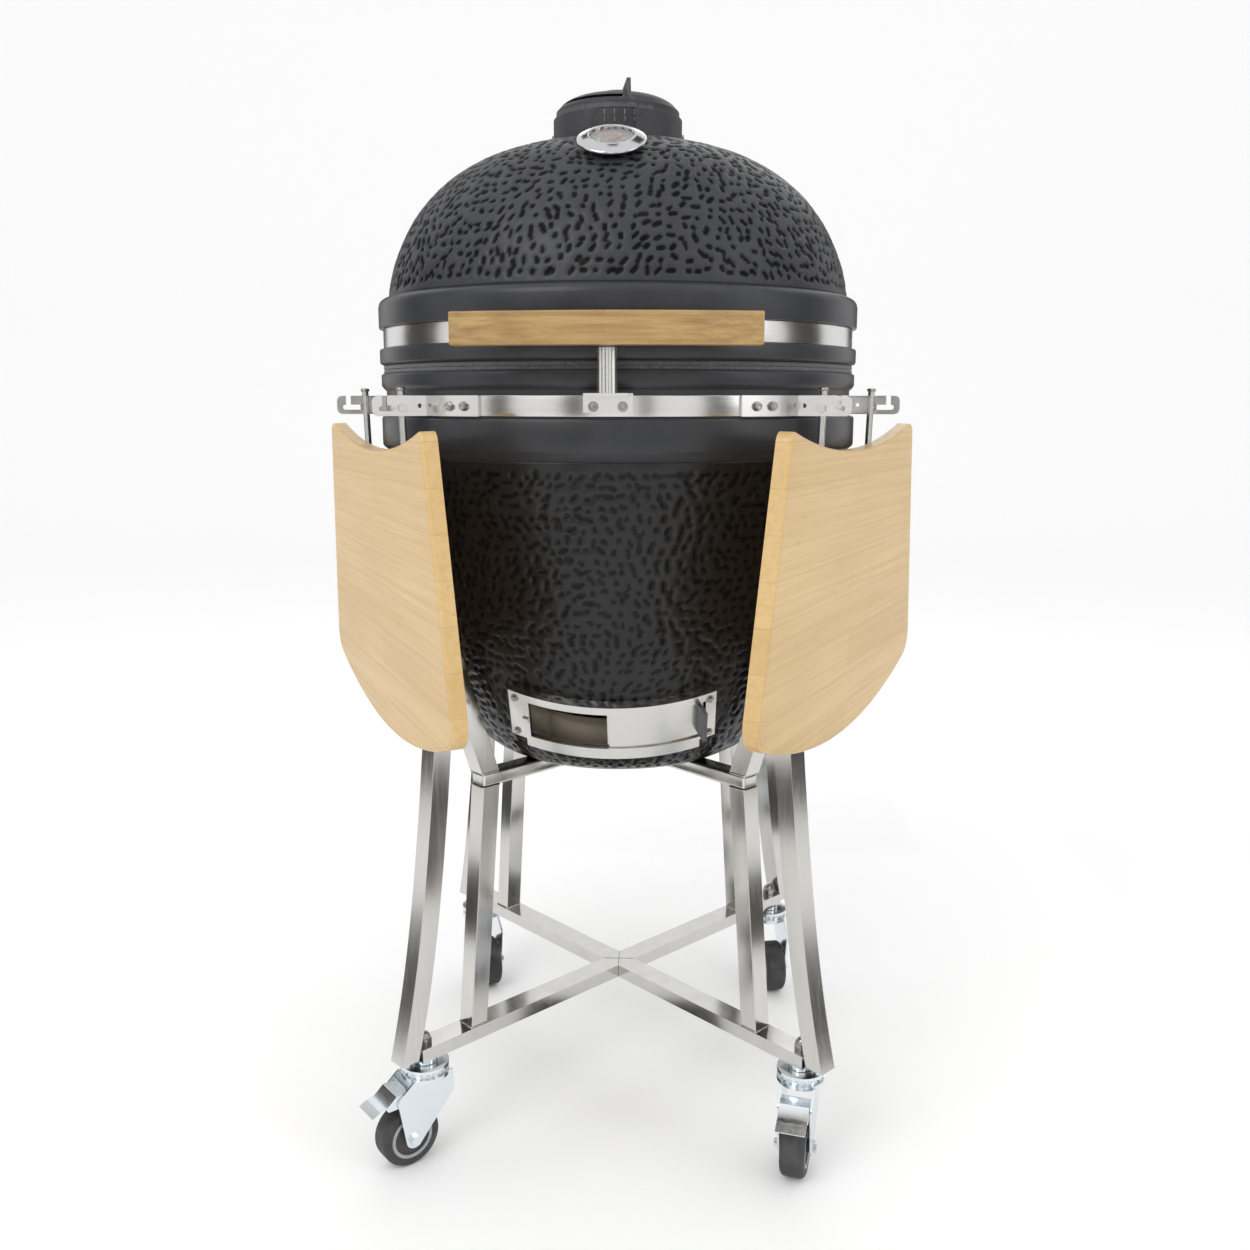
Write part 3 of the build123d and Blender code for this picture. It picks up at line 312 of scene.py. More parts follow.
def use_group(tree, name, values):
    if not GROUPS:
        GROUPS.update(grain=grain_group(), dust=dust_group(), wear=wear_group())
    return add_node(tree, "ShaderNodeGroup", values, node_tree=GROUPS[name]).outputs[0]


class Finish:
    """One material in the making: its tree, its shader and its object coordinates."""

    def __init__(self, name, base, roughness, metallic=0.0, turn=None, **fixed):
        self.material = bpy.data.materials.new(name)
        self.material.use_nodes = True
        self.tree = self.material.node_tree
        self.shader = self.tree.nodes["Principled BSDF"]
        self.base = rgba(base)
        self.shader.inputs["Base Color"].default_value = self.base
        self.shader.inputs["Roughness"].default_value = roughness
        self.shader.inputs["Metallic"].default_value = metallic
        for key, value in fixed.items():
            self.shader.inputs[key.replace("_", " ")].default_value = value
        self.material.diffuse_color = self.base
        self.where = add_node(self.tree, "ShaderNodeTexCoord").outputs["Object"]
        if turn is not None:
            self.where = add_node(
                self.tree, "ShaderNodeMapping", [("Vector", self.where), ("Rotation", turn)]
            ).outputs[0]

    def grain(self, stretch, detail=4.0):
        values = [("Vector", self.where), ("Stretch", stretch), ("Detail", detail)]
        return use_group(self.tree, "grain", values)

    def spread(self, value, low, high, to_low, to_high):
        node = add_node(
            self.tree, "ShaderNodeMapRange",
            [
                ("Value", value),
                ("From Min", low), ("From Max", high), ("To Min", to_low), ("To Max", to_high),
            ],
        )
        return node.outputs[0]

    def vary(self, value, low, high, share, first, second):
        """Mix of two colours, up to a share of the second, as a value runs from low to high."""
        return mix_colour(self.tree, self.spread(value, low, high, 0, share), first, second)

    def dusty(self, tone, amount):
        values = [("Vector", self.where), ("Colour", tone), ("Amount", amount)]
        self.paint(use_group(self.tree, "dust", values))

    def rough(self, value, low, high):
        """Roughness between low and high as a value runs from a quarter to three quarters."""
        self.tree.links.new(self.spread(value, 0.25, 0.75, low, high), self.shader.inputs["Roughness"])

    def paint(self, socket):
        self.tree.links.new(socket, self.shader.inputs["Base Color"])

    def bump(self, heights, strength=0.4):
        """Bumps from (value, distance) pairs, one after the other."""
        normal = None
        for value, distance in heights:
            pairs = [("Height", value), ("Distance", distance), ("Strength", strength)]
            if normal is not None:
                pairs.append(("Normal", normal))
            normal = add_node(self.tree, "ShaderNodeBump", pairs).outputs[0]
        self.tree.links.new(normal, self.shader.inputs["Normal"])


def glaze_finish(name, base, low, high, shine, pit_shine):
    """Dark glaze, darker in the pits with painted shade, with fine orange peel and dust."""
    s = ceramic()
    f = Finish(name, base, low, IOR=1.5)
    pit = add_node(f.tree, "ShaderNodeAttribute", attribute_name="pit").outputs["Fac"]
    cloud = f.grain((9, 9, 9), 5.0)
    varied = f.vary(cloud, 0.3, 0.7, 1, shaded(base, 0.86), f.base)
    # Painted shade: the colour goes towards the pit colour where the pit attribute marks a pit; the specular
    # is lowered there as well.
    shade_painted = f.vary(pit, 0.2, 0.7, 1, varied, rgba(s.pit_glaze))
    f.dusty(shade_painted, 0.03)
    f.tree.links.new(f.spread(pit, 0.2, 0.8, shine, pit_shine), f.shader.inputs["Specular IOR Level"])
    f.rough(cloud, low, high)
    f.bump([(f.grain((620, 620, 620), 2.0), 0.0002), (f.grain((120, 120, 120), 3.0), 0.0004)], 0.35)
    return f.material


def clay_finish():
    s = ceramic()
    f = Finish("fire_clay", s.fire_clay, 0.9)
    specks = f.grain((520, 520, 520), 2.0)
    tone = f.vary(specks, 0.55, 0.72, 1, f.base, shaded(s.fire_clay, 0.55))
    cloud = f.grain((14, 14, 14), 4.0)
    f.paint(f.vary(cloud, 0.35, 0.7, 0.5, tone, shaded(s.fire_clay, 0.75)))
    f.bump([(specks, 0.0004), (f.grain((90, 90, 90), 4.0), 0.0008)], 0.5)
    return f.material


def steel_finish(name, base, low, high, stretch, lines, turn=None):
    """Steel with brushing or polishing lines along one way, and faint cloudy handling marks."""
    f = Finish(name, base, low, 1.0, turn)
    line = f.grain(stretch, 3.0)
    cloud = f.grain((7, 7, 7), 5.0)
    half = math_node(f.tree, "MULTIPLY", math_node(f.tree, "ADD", line, cloud), 0.5)
    f.rough(half, low, high)
    f.paint(f.vary(line, 0.35, 0.65, 1, shaded(base, 0.93), f.base))
    f.bump([(line, lines)], 0.25)
    return f.material


def zinc_finish():
    """Bright zinc plating with pale and dark spangles."""
    s = metal()
    f = Finish("zinc_plate", s.zinc, 0.28, 1.0)
    cell = add_node(f.tree, "ShaderNodeTexVoronoi", [("Vector", f.where), ("Scale", 420.0)])
    shade = add_node(f.tree, "ShaderNodeSeparateColor", [("Color", cell.outputs["Color"])]).outputs[0]
    tone = mix_colour(f.tree, shade, shaded(s.zinc, 0.97), f.base)
    f.paint(tone)
    f.rough(shade, 0.2, 0.24)
    f.bump([(f.grain((120, 120, 120), 1.0), 0.00002)], 0.1)
    return f.material


def iron_finish(name, base, roughness, bump=0.0006):
    """Painted cast iron: sand-cast skin and slightly worn edges."""
    f = Finish(name, base, roughness)
    skin = f.grain((420, 420, 420), 4.0)
    worn = use_group(f.tree, "wear", [("Vector", f.where), ("Amount", 0.8)])
    cloud = f.grain((30, 30, 30), 4.0)
    tone = f.vary(cloud, 0.3, 0.7, 1, shaded(base, 0.8), f.base)
    edged = mix_colour(f.tree, worn, tone, rgba([min(1.0, c * 3 + 0.05) for c in base]))
    f.dusty(edged, 0.06)
    f.rough(skin, roughness - 0.07, roughness + 0.07)
    f.bump([(skin, bump)], 0.35)
    return f.material


def rubber_finish():
    base = (0.022, 0.022, 0.024)
    f = Finish("tyre_rubber", base, 0.62)
    fine = f.grain((900, 900, 900), 2.0)
    cloud = f.grain((40, 40, 40), 4.0)
    tone = f.vary(cloud, 0.35, 0.65, 1, f.base, (0.04, 0.04, 0.042, 1))
    f.dusty(tone, 0.15)
    f.rough(cloud, 0.52, 0.72)
    f.bump([(fine, 0.0002)], 0.3)
    return f.material


def plastic_finish(name, base, roughness=0.45):
    f = Finish(name, base, roughness)
    fine = f.grain((700, 700, 700), 2.0)
    cloud = f.grain((60, 60, 60), 3.0)
    f.paint(f.vary(cloud, 0.3, 0.7, 1, shaded(base, 0.85), f.base))
    f.rough(fine, roughness - 0.06, roughness + 0.06)
    f.bump([(fine, 0.00015)], 0.25)
    return f.material


def felt_finish():
    base = (0.05, 0.05, 0.053)
    f = Finish("gasket_felt", base, 0.95, Sheen_Weight=0.3, Sheen_Roughness=0.5)
    fibre = f.grain((900, 900, 260), 5.0)
    f.paint(f.vary(fibre, 0.4, 0.7, 1, f.base, (0.13, 0.13, 0.135, 1)))
    f.bump([(fibre, 0.0008)], 0.6)
    return f.material


def bamboo_finish(name, turn, light, dark, width, long, seam, gloss, streak):
    """Bamboo strips glued side by side: x runs along them and y across, after the turn."""
    f = Finish(name, light, gloss, 0.0, turn, Coat_Weight=0.25, Coat_Roughness=0.3)
    bricks = add_node(
        f.tree, "ShaderNodeTexBrick",
        [
            ("Vector", f.where),
            ("Color1", (0, 0, 0, 1)), ("Color2", (1, 1, 1, 1)), ("Mortar", (0.5, 0.5, 0.5, 1)),
            ("Scale", 1.0), ("Mortar Size", seam), ("Mortar Smooth", 0.6), ("Bias", 0.0),
            ("Brick Width", long), ("Row Height", width),
        ],
        offset=0.43, offset_frequency=2,
    )
    strip = add_node(f.tree, "ShaderNodeSeparateColor", [("Color", bricks.outputs["Color"])]).outputs[0]
    fibre = f.grain((7, 900, 900), 4.0)
    figure = f.grain((2.2, 170, 170), 6.0)
    patch = f.grain((5, 9, 9), 3.0)
    nodes = f.grain((26, 55, 55), 2.0)
    blend = f.vary(strip, 0.0, 1.0, 0.5, rgba(light), rgba(dark))
    toned = f.vary(patch, 0.35, 0.7, 0.3, blend, rgba(dark))
    streaked = f.vary(figure, 0.42, 0.68, streak, toned, rgba(dark))
    fine = f.vary(fibre, 0.45, 0.7, 0.35, streaked, shaded(dark, 0.75)
    )
    marked = f.vary(nodes, 0.68, 0.78, 0.35, fine, shaded(dark, 0.7))
    joint = f.spread(bricks.outputs["Fac"], 0, 1, 0, 0.5)
    f.paint(mix_colour(f.tree, joint, marked, shaded(dark, 0.72)))
    f.rough(figure, gloss - 0.06, gloss + 0.08)
    sunk = math_node(f.tree, "SUBTRACT", 1.0, bricks.outputs["Fac"])
    f.bump([(fibre, 0.00015), (sunk, 0.0002)], 0.3)
    return f.material


def glass_finish():
    f = Finish("dial_glass", (0.97, 0.98, 0.98), 0.03, 0.0, IOR=1.45)
    f.shader.inputs["Transmission Weight"].default_value = 1.0
    smear = f.grain((60, 60, 60), 3.0)
    f.rough(smear, 0.01, 0.07)
    return f.material


def dial_finish(name, base):
    f = Finish(name, base, 0.4)
    fine = f.grain((900, 900, 900), 2.0)
    f.paint(f.vary(fine, 0.35, 0.65, 1, shaded(base, 0.92), f.base))
    f.rough(fine, 0.35, 0.5)
    return f.material


def sooted_finish(name, base, low, high):
    """Bare cooking metal with a little soot."""
    f = Finish(name, base, low, 1.0)
    cloud = f.grain((38, 38, 38), 5.0)
    f.paint(f.vary(cloud, 0.4, 0.75, 0.6, f.base, shaded(base, 0.35)))
    f.rough(cloud, low, high)
    f.bump([(f.grain((350, 350, 350), 3.0), 0.0003)], 0.3)
    return f.material


MATERIALS = {}


def shelf_turn(side):
    """Turn that brings a shelf's level direction to x and the upright to y."""
    azimuth = radians(BOARD_AZIMUTH)
    normal = Vector((side * sin(azimuth), -cos(azimuth), 0))
    level = Vector((-normal.y, normal.x, 0))
    return Matrix((level, (0, 0, 1), normal)).to_euler("XYZ")


def make_materials():
    m, w, d = metal(), wood(), dial()
    made = {
        "glaze": glaze_finish("lid_glaze", ceramic().glaze, 0.40, 0.52, 0.42, 0.08),
        # The belly's darker glaze colour is painted shade; its lower roughness is the belly's glossier glaze.
        "belly_glaze": glaze_finish("belly_glaze", ceramic().belly_glaze, 0.24, 0.34, 0.36, 0.22),
        "rim_glaze": glaze_finish("rim_glaze", ceramic().glaze, 0.3, 0.4, 0.42, 0.08),
        "clay": clay_finish(),
        "felt": felt_finish(),
        "zinc": zinc_finish(),
        "tube": steel_finish("tube_steel", m.polished, 0.1, 0.2, (160, 160, 5), 0.00006),
        "level_tube": steel_finish("cross_steel", m.polished, 0.1, 0.2, (60, 60, 60), 0.00005),
        "band": steel_finish("band_steel", m.brushed, 0.16, 0.25, (4, 4, 1800), 0.00005),
        "plate": steel_finish("plate_steel", m.brushed, 0.17, 0.27, (30, 30, 1800), 0.00004),
        "rod": steel_finish("rod_steel", m.polished, 0.14, 0.26, (300, 300, 300), 0.0001),
        "bolt": steel_finish("bolt_steel", m.bolt, 0.16, 0.28, (300, 300, 300), 0.0001),
        "chrome": steel_finish("ring_chrome", m.chrome, 0.12, 0.2, (500, 500, 500), 0.00004),
        "seam": steel_finish("seam_steel", (0.12, 0.11, 0.1), 0.4, 0.6, (300, 300, 300), 0.0001),
        "iron": iron_finish("vent_iron", m.iron, 0.55),
        "mark": iron_finish("vent_mark", (0.09, 0.09, 0.095), 0.5, 0.0001),
        "knob": iron_finish("knob_iron", (0.055, 0.055, 0.06), 0.5),
        "grate": sooted_finish("grate_iron", (0.12, 0.12, 0.125), 0.5, 0.75),
        "grid": sooted_finish("grid_steel", (0.6, 0.59, 0.57), 0.24, 0.45),
        "tyre": rubber_finish(),
        "hub": plastic_finish("hub_plastic", (0.05, 0.05, 0.055)),
        "hub_ring": plastic_finish("hub_ring", (0.36, 0.38, 0.4), 0.4),
        "glass": glass_finish(),
        "dial": dial_finish("dial_face", d.face),
        "warm": dial_finish("dial_warm", d.warm),
        "hot": dial_finish("dial_hot", d.hot),
        "print": dial_finish("dial_print", (0.75, 0.75, 0.74)),
        "needle": dial_finish("needle_paint", (0.62, 0.03, 0.02)),
        "handle": bamboo_finish(
            "handle_bamboo", (pi / 2, 0, 0), w.strip_light, w.strip_dark,
            w.strip_height, w.strip_length, 0.0002, 0.4, 0.85,
        ),
    }
    for word, side in SIDES.items():
        made["board_" + word] = bamboo_finish(
            "board_bamboo_" + word, shelf_turn(side), w.board_light, w.board_dark, w.plank_width,
            w.plank_length, 0.0005, 0.42, 0.6,
        )
    MATERIALS.update(made)


# --- mesh helpers -----------------------------------------------------------------------------
def body_of(node):
    return frame["nodes"][node]["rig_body"]


def linked(name, data):
    """New object in the scene."""
    made = bpy.data.objects.new(name, data)
    bpy.context.scene.collection.objects.link(made)
    return made


def mesh_of(name, points, faces, edges=()):
    mesh = bpy.data.meshes.new(name)
    mesh.from_pydata(points, list(edges), faces)
    return mesh


def object_of(name, mesh, *materials):
    piece = linked(name, mesh)
    mesh.materials.clear()
    for key in materials:
        mesh.materials.append(MATERIALS[key])
    return piece


def place(piece, node, stands_for=True):
    """Rides a piece on the node's body, and hides the node if it stands for it."""
    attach(piece, body_of(node))
    if stands_for:
        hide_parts(node)
    return piece


def dress(node, key):
    """New material on a CAD node whose shape is right."""
    piece = frame["nodes"][node]
    for slot in piece.material_slots:
        slot.material = MATERIALS[key]


def merged(node):
    """Copy of a node's mesh with its loose triangles merged and its flat faces joined."""
    source = bmesh.new()
    source.from_mesh(frame["nodes"][node].data)
    bmesh.ops.remove_doubles(source, verts=source.verts, dist=5e-6)
    bmesh.ops.dissolve_degenerate(source, edges=source.edges, dist=1e-6)
    bmesh.ops.dissolve_limit(source, angle_limit=radians(0.6), verts=source.verts, edges=source.edges)
    points = [v.co.copy() for v in source.verts]
    source.verts.index_update()
    faces = [[v.index for v in face.verts] for face in source.faces]
    source.free()
    return mesh_of(node + "_merged", points, faces)


def baked(piece):
    """Plain mesh of a piece's evaluated modifiers, which are then removed."""
    depsgraph = bpy.context.evaluated_depsgraph_get()
    mesh = bpy.data.meshes.new_from_object(piece.evaluated_get(depsgraph), depsgraph=depsgraph)
    piece.modifiers.clear()
    old = piece.data
    piece.data = mesh
    if old.users == 0:
        bpy.data.meshes.remove(old)
    return piece


def rounded(piece, width, segments=2, angle=32.0):
    """Rounds a piece's edges and gives it smooth, face-weighted normals."""
    piece.data.shade_smooth()
    bevel = piece.modifiers.new("Rounding", "BEVEL")
    bevel.width = width
    bevel.segments = segments
    bevel.limit_method = "ANGLE"
    bevel.angle_limit = radians(angle)
    bevel.use_clamp_overlap = True
    weighted = piece.modifiers.new("Normals", "WEIGHTED_NORMAL")
    weighted.keep_sharp = True
    return baked(piece)


def softened(node, key, width, segments=2, angle=32.0):
    """Piece with a CAD node's shape and rounded edges, which stands for the node."""
    piece = object_of(node + ".finished", merged(node), key)
    rounded(piece, width, segments, angle)
    return place(piece, node)


def smooth_path(points, step):
    """Even points on a natural cubic curve through the given (radius, height) points."""
    p = np.array(points, float)
    t = np.concatenate([[0], np.cumsum(np.linalg.norm(np.diff(p, axis=0), axis=1))])
    h = np.diff(t)
    count = len(p)
    matrix, right = np.eye(count), np.zeros((count, 2))
    for i in range(1, count - 1):
        matrix[i, i - 1 : i + 2] = h[i - 1], 2 * (h[i - 1] + h[i]), h[i]
        right[i] = 6 * ((p[i + 1] - p[i]) / h[i] - (p[i] - p[i - 1]) / h[i - 1])
    bend = np.linalg.solve(matrix, right)
    at = np.linspace(0, t[-1], max(2, round(t[-1] / step) + 1))
    i = np.clip(np.searchsorted(t, at) - 1, 0, count - 2)
    a, b = (t[i + 1] - at)[:, None], (at - t[i])[:, None]
    hi = h[i][:, None]
    return (
        bend[i] * a**3 / (6 * hi) + bend[i + 1] * b**3 / (6 * hi)
        + (p[i] / hi - bend[i] * hi / 6) * a + (p[i + 1] / hi - bend[i + 1] * hi / 6) * b
    )


def in_mm(profile):
    """Outline in metres from (radius, height) points in millimetres."""
    return [(r * MM, z * MM) for r, z in profile]


def lathe(name, outline, segments, closed=True):
    """Mesh turned from an outline of (radius, height) points: up the outside, down the inside."""
    outline = np.array(outline, float)
    turn = np.linspace(0, 2 * pi, segments, endpoint=False)
    rings = len(outline)
    points = np.empty((rings, segments, 3))
    points[..., 0] = outline[:, :1] * np.sin(turn)
    points[..., 1] = -outline[:, :1] * np.cos(turn)
    points[..., 2] = outline[:, 1:]
    last = rings if closed else rings - 1
    i, j = np.meshgrid(np.arange(last), np.arange(segments), indexing="ij")
    i2, j2 = (i + 1) % rings, (j + 1) % segments
    faces = np.stack([i * segments + j, i * segments + j2, i2 * segments + j2, i2 * segments + j], -1)
    mesh = mesh_of(name, points.reshape(-1, 3), faces.reshape(-1, 4).tolist())
    mesh.shade_smooth()
    return mesh


def weld_poles(mesh):
    work = bmesh.new()
    work.from_mesh(mesh)
    bmesh.ops.remove_doubles(work, verts=work.verts, dist=1e-6)
    work.to_mesh(mesh)
    work.free()


def pits(mesh, outline, first, last, segments, seed):
    """Presses elongated pits into the rows from first to last of a turned mesh, and marks them."""
    s = ceramic()
    random = np.random.default_rng(seed)
    count = len(mesh.vertices)
    flat = np.empty(count * 3)
    mesh.vertices.foreach_get("co", flat)
    points = flat.reshape(-1, 3)
    path = np.array(outline[first : last + 1], float)
    along = np.gradient(path, axis=0)
    along /= np.linalg.norm(along, axis=1)[:, None]
    rows = np.arange(first * segments, (last + 1) * segments)
    tree = kdtree.KDTree(len(rows))
    for index in rows:
        tree.insert(points[index], int(index))
    tree.balance()
    travel = np.concatenate([[0], np.cumsum(np.linalg.norm(np.diff(path, axis=0), axis=1))])
    sunk, mark = np.zeros(count), np.zeros(count)
    outwards = np.zeros((count, 3))
    turn = np.linspace(0, 2 * pi, segments, endpoint=False)
    around = np.stack([np.sin(turn), -np.cos(turn)], -1)
    for k, row in enumerate(range(first, last + 1)):
        block = slice(row * segments, (row + 1) * segments)
        outwards[block, :2] = around * along[k, 1]
        outwards[block, 2] = -along[k, 0]
    edge = s.pit_long * 0.45
    for line in range(round((travel[-1] - 2 * edge) / (s.pit_pitch * 0.9)) + 1):
        height = edge + line * s.pit_pitch * 0.9
        base_r = np.interp(height, travel, path[:, 0])
        places = max(6, round(2 * pi * base_r / s.pit_pitch))
        start = random.uniform(0, 2 * pi)
        for k in range(places):
            at = np.clip(height + random.normal(0, 0.17) * s.pit_pitch, edge, travel[-1] - edge)
            azimuth = start + (k + random.normal(0, 0.15)) * 2 * pi / places
            r, z = np.interp(at, travel, path[:, 0]), np.interp(at, travel, path[:, 1])
            tr, tz = np.interp(at, travel, along[:, 0]), np.interp(at, travel, along[:, 1])
            centre = np.array([r * sin(azimuth), -r * cos(azimuth), z])
            level = np.array([cos(azimuth), sin(azimuth), 0])
            rise = np.array([tr * sin(azimuth), -tr * cos(azimuth), tz])
            flow = noise.noise(Vector(centre * 9.0) + Vector((seed, 0, 0)))
            angle = flow * 3.4 + random.normal(0, 0.4)
            long = random.uniform(s.pit_short, s.pit_long)
            wide = s.pit_width * random.uniform(0.8, 1.15)
            deep = s.pit_depth * random.uniform(0.65, 1.1)
            near = [found[1] for found in tree.find_range(centre, long / 2 + wide * 1.3)]
            if not near:
                continue
            offset = points[near] - centre
            u = offset @ (level * cos(angle) + rise * sin(angle))
            w = offset @ (rise * cos(angle) - level * sin(angle))
            beyond = np.maximum(np.abs(u) - (long - wide) / 2, 0)
            q = np.sqrt(beyond**2 + w**2) / (wide / 2)
            bowl = np.exp(-(q**4.2))
            lip = 0.12 * np.exp(-(((q - 1.5) / 0.35) ** 2))
            sunk[near] = np.minimum(sunk[near], 0) - np.maximum(deep * bowl + sunk[near], 0) + deep * lip
            mark[near] = np.maximum(mark[near], bowl)
    grain = s.pit_depth * 0.16
    for index in rows:
        sunk[index] += grain * noise.noise(Vector(points[index] * 55.0))
    points += outwards * sunk[:, None]
    mesh.vertices.foreach_set("co", points.ravel())
    # The pit attribute marks the pits where the glaze paints shade.
    shade = mesh.attributes.new("pit", "FLOAT", "POINT")
    shade.data.foreach_set("value", mark.astype(np.float32))
    mesh.update()


def faced_out(mesh):
    """Turns every face of a closed mesh outwards."""
    work = bmesh.new()
    work.from_mesh(mesh)
    bmesh.ops.recalc_face_normals(work, faces=work.faces)
    work.to_mesh(mesh)
    work.free()
    return mesh


def box_mesh(x, y, z):
    """Box mesh of the given size round the origin."""
    mesh = bpy.data.meshes.new("tick")
    work = bmesh.new()
    bmesh.ops.create_cube(work, size=1.0, matrix=Matrix.Diagonal((x, y, z, 1)))
    work.to_mesh(mesh)
    work.free()
    return mesh


def paint_faces(mesh, inside):
    """Gives the second material to the faces for which inside(centre, normal) is true."""
    for face in mesh.polygons:
        if inside(face.center, face.normal):
            face.material_index = 1


# --- geometry nodes ---------------------------------------------------------------------------
def geometry_tree(name, inputs):
    tree = bpy.data.node_groups.new(name, "GeometryNodeTree")
    tree.interface.new_socket(name="Geometry", in_out="INPUT", socket_type="NodeSocketGeometry")
    for label, kind, default in inputs:
        socket = tree.interface.new_socket(name=label, in_out="INPUT", socket_type="NodeSocket" + kind)
        if default is not None:
            socket.default_value = default
    tree.interface.new_socket(name="Geometry", in_out="OUTPUT", socket_type="NodeSocketGeometry")
    return tree, tree.nodes.new("NodeGroupInput"), tree.nodes.new("NodeGroupOutput")


def finish_tree(tree, geometry, material, end):
    """Realized instances with their material, as a tree's result."""
    real = add_node(tree, "GeometryNodeRealizeInstances", [("Geometry", geometry)])
    painted = add_node(
        tree, "GeometryNodeSetMaterial", [("Geometry", real.outputs[0]), ("Material", material)]
    )
    tree.links.new(painted.outputs[0], end.inputs[0])
    return tree


def repeat_tree():
    """One part set on every point, its z along the point's way and its x along its side."""
    tree, start, end = geometry_tree(
        "Parts on points",
        [("Part", "Object", None), ("Scale", "Float", 1.0), ("Material", "Material", None)],
    )
    part = add_node(tree, "GeometryNodeObjectInfo", [("Object", start.outputs["Part"])])
    way = add_node(tree, "GeometryNodeInputNamedAttribute", [("Name", "way")], data_type="FLOAT_VECTOR")
    side = add_node(tree, "GeometryNodeInputNamedAttribute", [("Name", "side")], data_type="FLOAT_VECTOR")
    upright = add_node(
        tree, "FunctionNodeAlignRotationToVector", [("Vector", way.outputs["Attribute"])], axis="Z"
    )
    turned = add_node(
        tree, "FunctionNodeAlignRotationToVector",
        [("Rotation", upright.outputs[0]), ("Vector", side.outputs["Attribute"])], axis="X", pivot_axis="Z",
    )
    dots = add_node(tree, "GeometryNodeMeshToPoints", [("Mesh", start.outputs["Geometry"])])
    spread = add_node(
        tree, "GeometryNodeInstanceOnPoints",
        [
            ("Points", dots.outputs[0]), ("Instance", part.outputs["Geometry"]),
            ("Rotation", turned.outputs[0]), ("Scale", start.outputs["Scale"]),
        ],
    )
    return finish_tree(tree, spread.outputs[0], start.outputs["Material"], end)


def bead_tree():
    """Weld bead along a path, its height broken up by noise."""
    tree, start, end = geometry_tree(
        "Weld bead", [("Radius", "Float", 0.001), ("Seed", "Float", 3.0), ("Material", "Material", None)]
    )
    path = add_node(tree, "GeometryNodeMeshToCurve", [("Mesh", start.outputs["Geometry"])])
    even = add_node(
        tree, "GeometryNodeResampleCurve", [("Curve", path.outputs[0]), ("Length", 0.0016)], mode="LENGTH"
    )
    ring = add_node(
        tree, "GeometryNodeCurvePrimitiveCircle", [("Resolution", 6), ("Radius", start.outputs["Radius"])]
    )
    tube = add_node(
        tree, "GeometryNodeCurveToMesh",
        [("Curve", even.outputs[0]), ("Profile Curve", ring.outputs[0]), ("Fill Caps", True)],
    )
    ripple = add_node(
        tree, "ShaderNodeTexNoise", [("W", start.outputs["Seed"]), ("Scale", 420.0)], noise_dimensions="4D"
    )
    centred = math_node(tree, "SUBTRACT", ripple.outputs[0], 0.5)
    height = math_node(tree, "MULTIPLY", centred, start.outputs["Radius"])
    normal = add_node(tree, "GeometryNodeInputNormal")
    push = add_node(
        tree, "ShaderNodeVectorMath", [(0, normal.outputs[0]), ("Scale", height)], operation="SCALE"
    )
    moved = add_node(
        tree, "GeometryNodeSetPosition", [("Geometry", tube.outputs[0]), ("Offset", push.outputs[0])]
    )
    smooth = add_node(tree, "GeometryNodeSetShadeSmooth", [("Geometry", moved.outputs[0])])
    return finish_tree(tree, smooth.outputs[0], start.outputs["Material"], end)


TREES = {}


def run_tree(piece, kind, values):
    """Runs a geometry tree on a piece with the named inputs, and keeps the plain mesh."""
    if not TREES:
        TREES.update(repeat=repeat_tree(), bead=bead_tree())
    tree = TREES[kind]
    modifier = piece.modifiers.new(kind, "NODES")
    modifier.node_group = tree
    names = {item.name: item.identifier for item in tree.interface.items_tree if item.in_out == "INPUT"}
    for label, value in values.items():
        modifier[names[label]] = value
    return baked(piece)


def repeated(name, places, part, key):
    """Copies of a part mesh at (point, way, side) places, as one piece."""
    mesh = mesh_of(name + "_points", [point for point, _, _ in places], [])
    for label, column in (("way", 1), ("side", 2)):
        attribute = mesh.attributes.new(label, "FLOAT_VECTOR", "POINT")
        attribute.data.foreach_set("vector", np.array([list(row[column]) for row in places], float).ravel())
    master = object_of(name + "_master", part, key)
    piece = object_of(name, mesh, key)
    run_tree(piece, "repeat", {"Part": master, "Scale": 1.0, "Material": MATERIALS[key]})
    bpy.data.objects.remove(master)
    return piece


def turned_part(name, outline, segments, width=0.0):
    """Part turned about z from (radius, height) points that start and end on the axis."""
    mesh = lathe(name, outline, segments, closed=False)
    weld_poles(mesh)
    mesh.shade_flat()
    if width:
        piece = linked(name, mesh)
        rounded(piece, width, 2, 25.0)
        mesh = piece.data
        bpy.data.objects.remove(piece)
    return mesh


def hex_bolt(radius, height, washer, washer_height):
    """Hexagon head on a washer, standing on z 0, with a sunk middle."""
    head = turned_part(
        "hex_head",
        [
            (0, washer_height * 0.5), (radius, washer_height * 0.5), (radius, washer_height + height),
            (radius * 0.62, washer_height + height), (radius * 0.55, washer_height + height * 0.8),
            (0, washer_height + height * 0.8),
        ],
        6, radius * 0.09,
    )
    disc = turned_part(
        "washer", [(0, 0), (washer, 0), (washer, washer_height), (0, washer_height)], 24, washer_height * 0.25
    )
    return joined("hex_bolt", [head, disc])


def joined(name, meshes):
    work = bmesh.new()
    for mesh in meshes:
        work.from_mesh(mesh)
        bpy.data.meshes.remove(mesh)
    made = bpy.data.meshes.new(name)
    work.to_mesh(made)
    work.free()
    made.shade_smooth()
    made.set_sharp_from_angle(angle=radians(35))
    return made


def ball(radius):
    work = bmesh.new()
    bmesh.ops.create_icosphere(work, subdivisions=2, radius=radius)
    mesh = bpy.data.meshes.new("ball")
    work.to_mesh(mesh)
    work.free()
    mesh.shade_smooth()
    return mesh


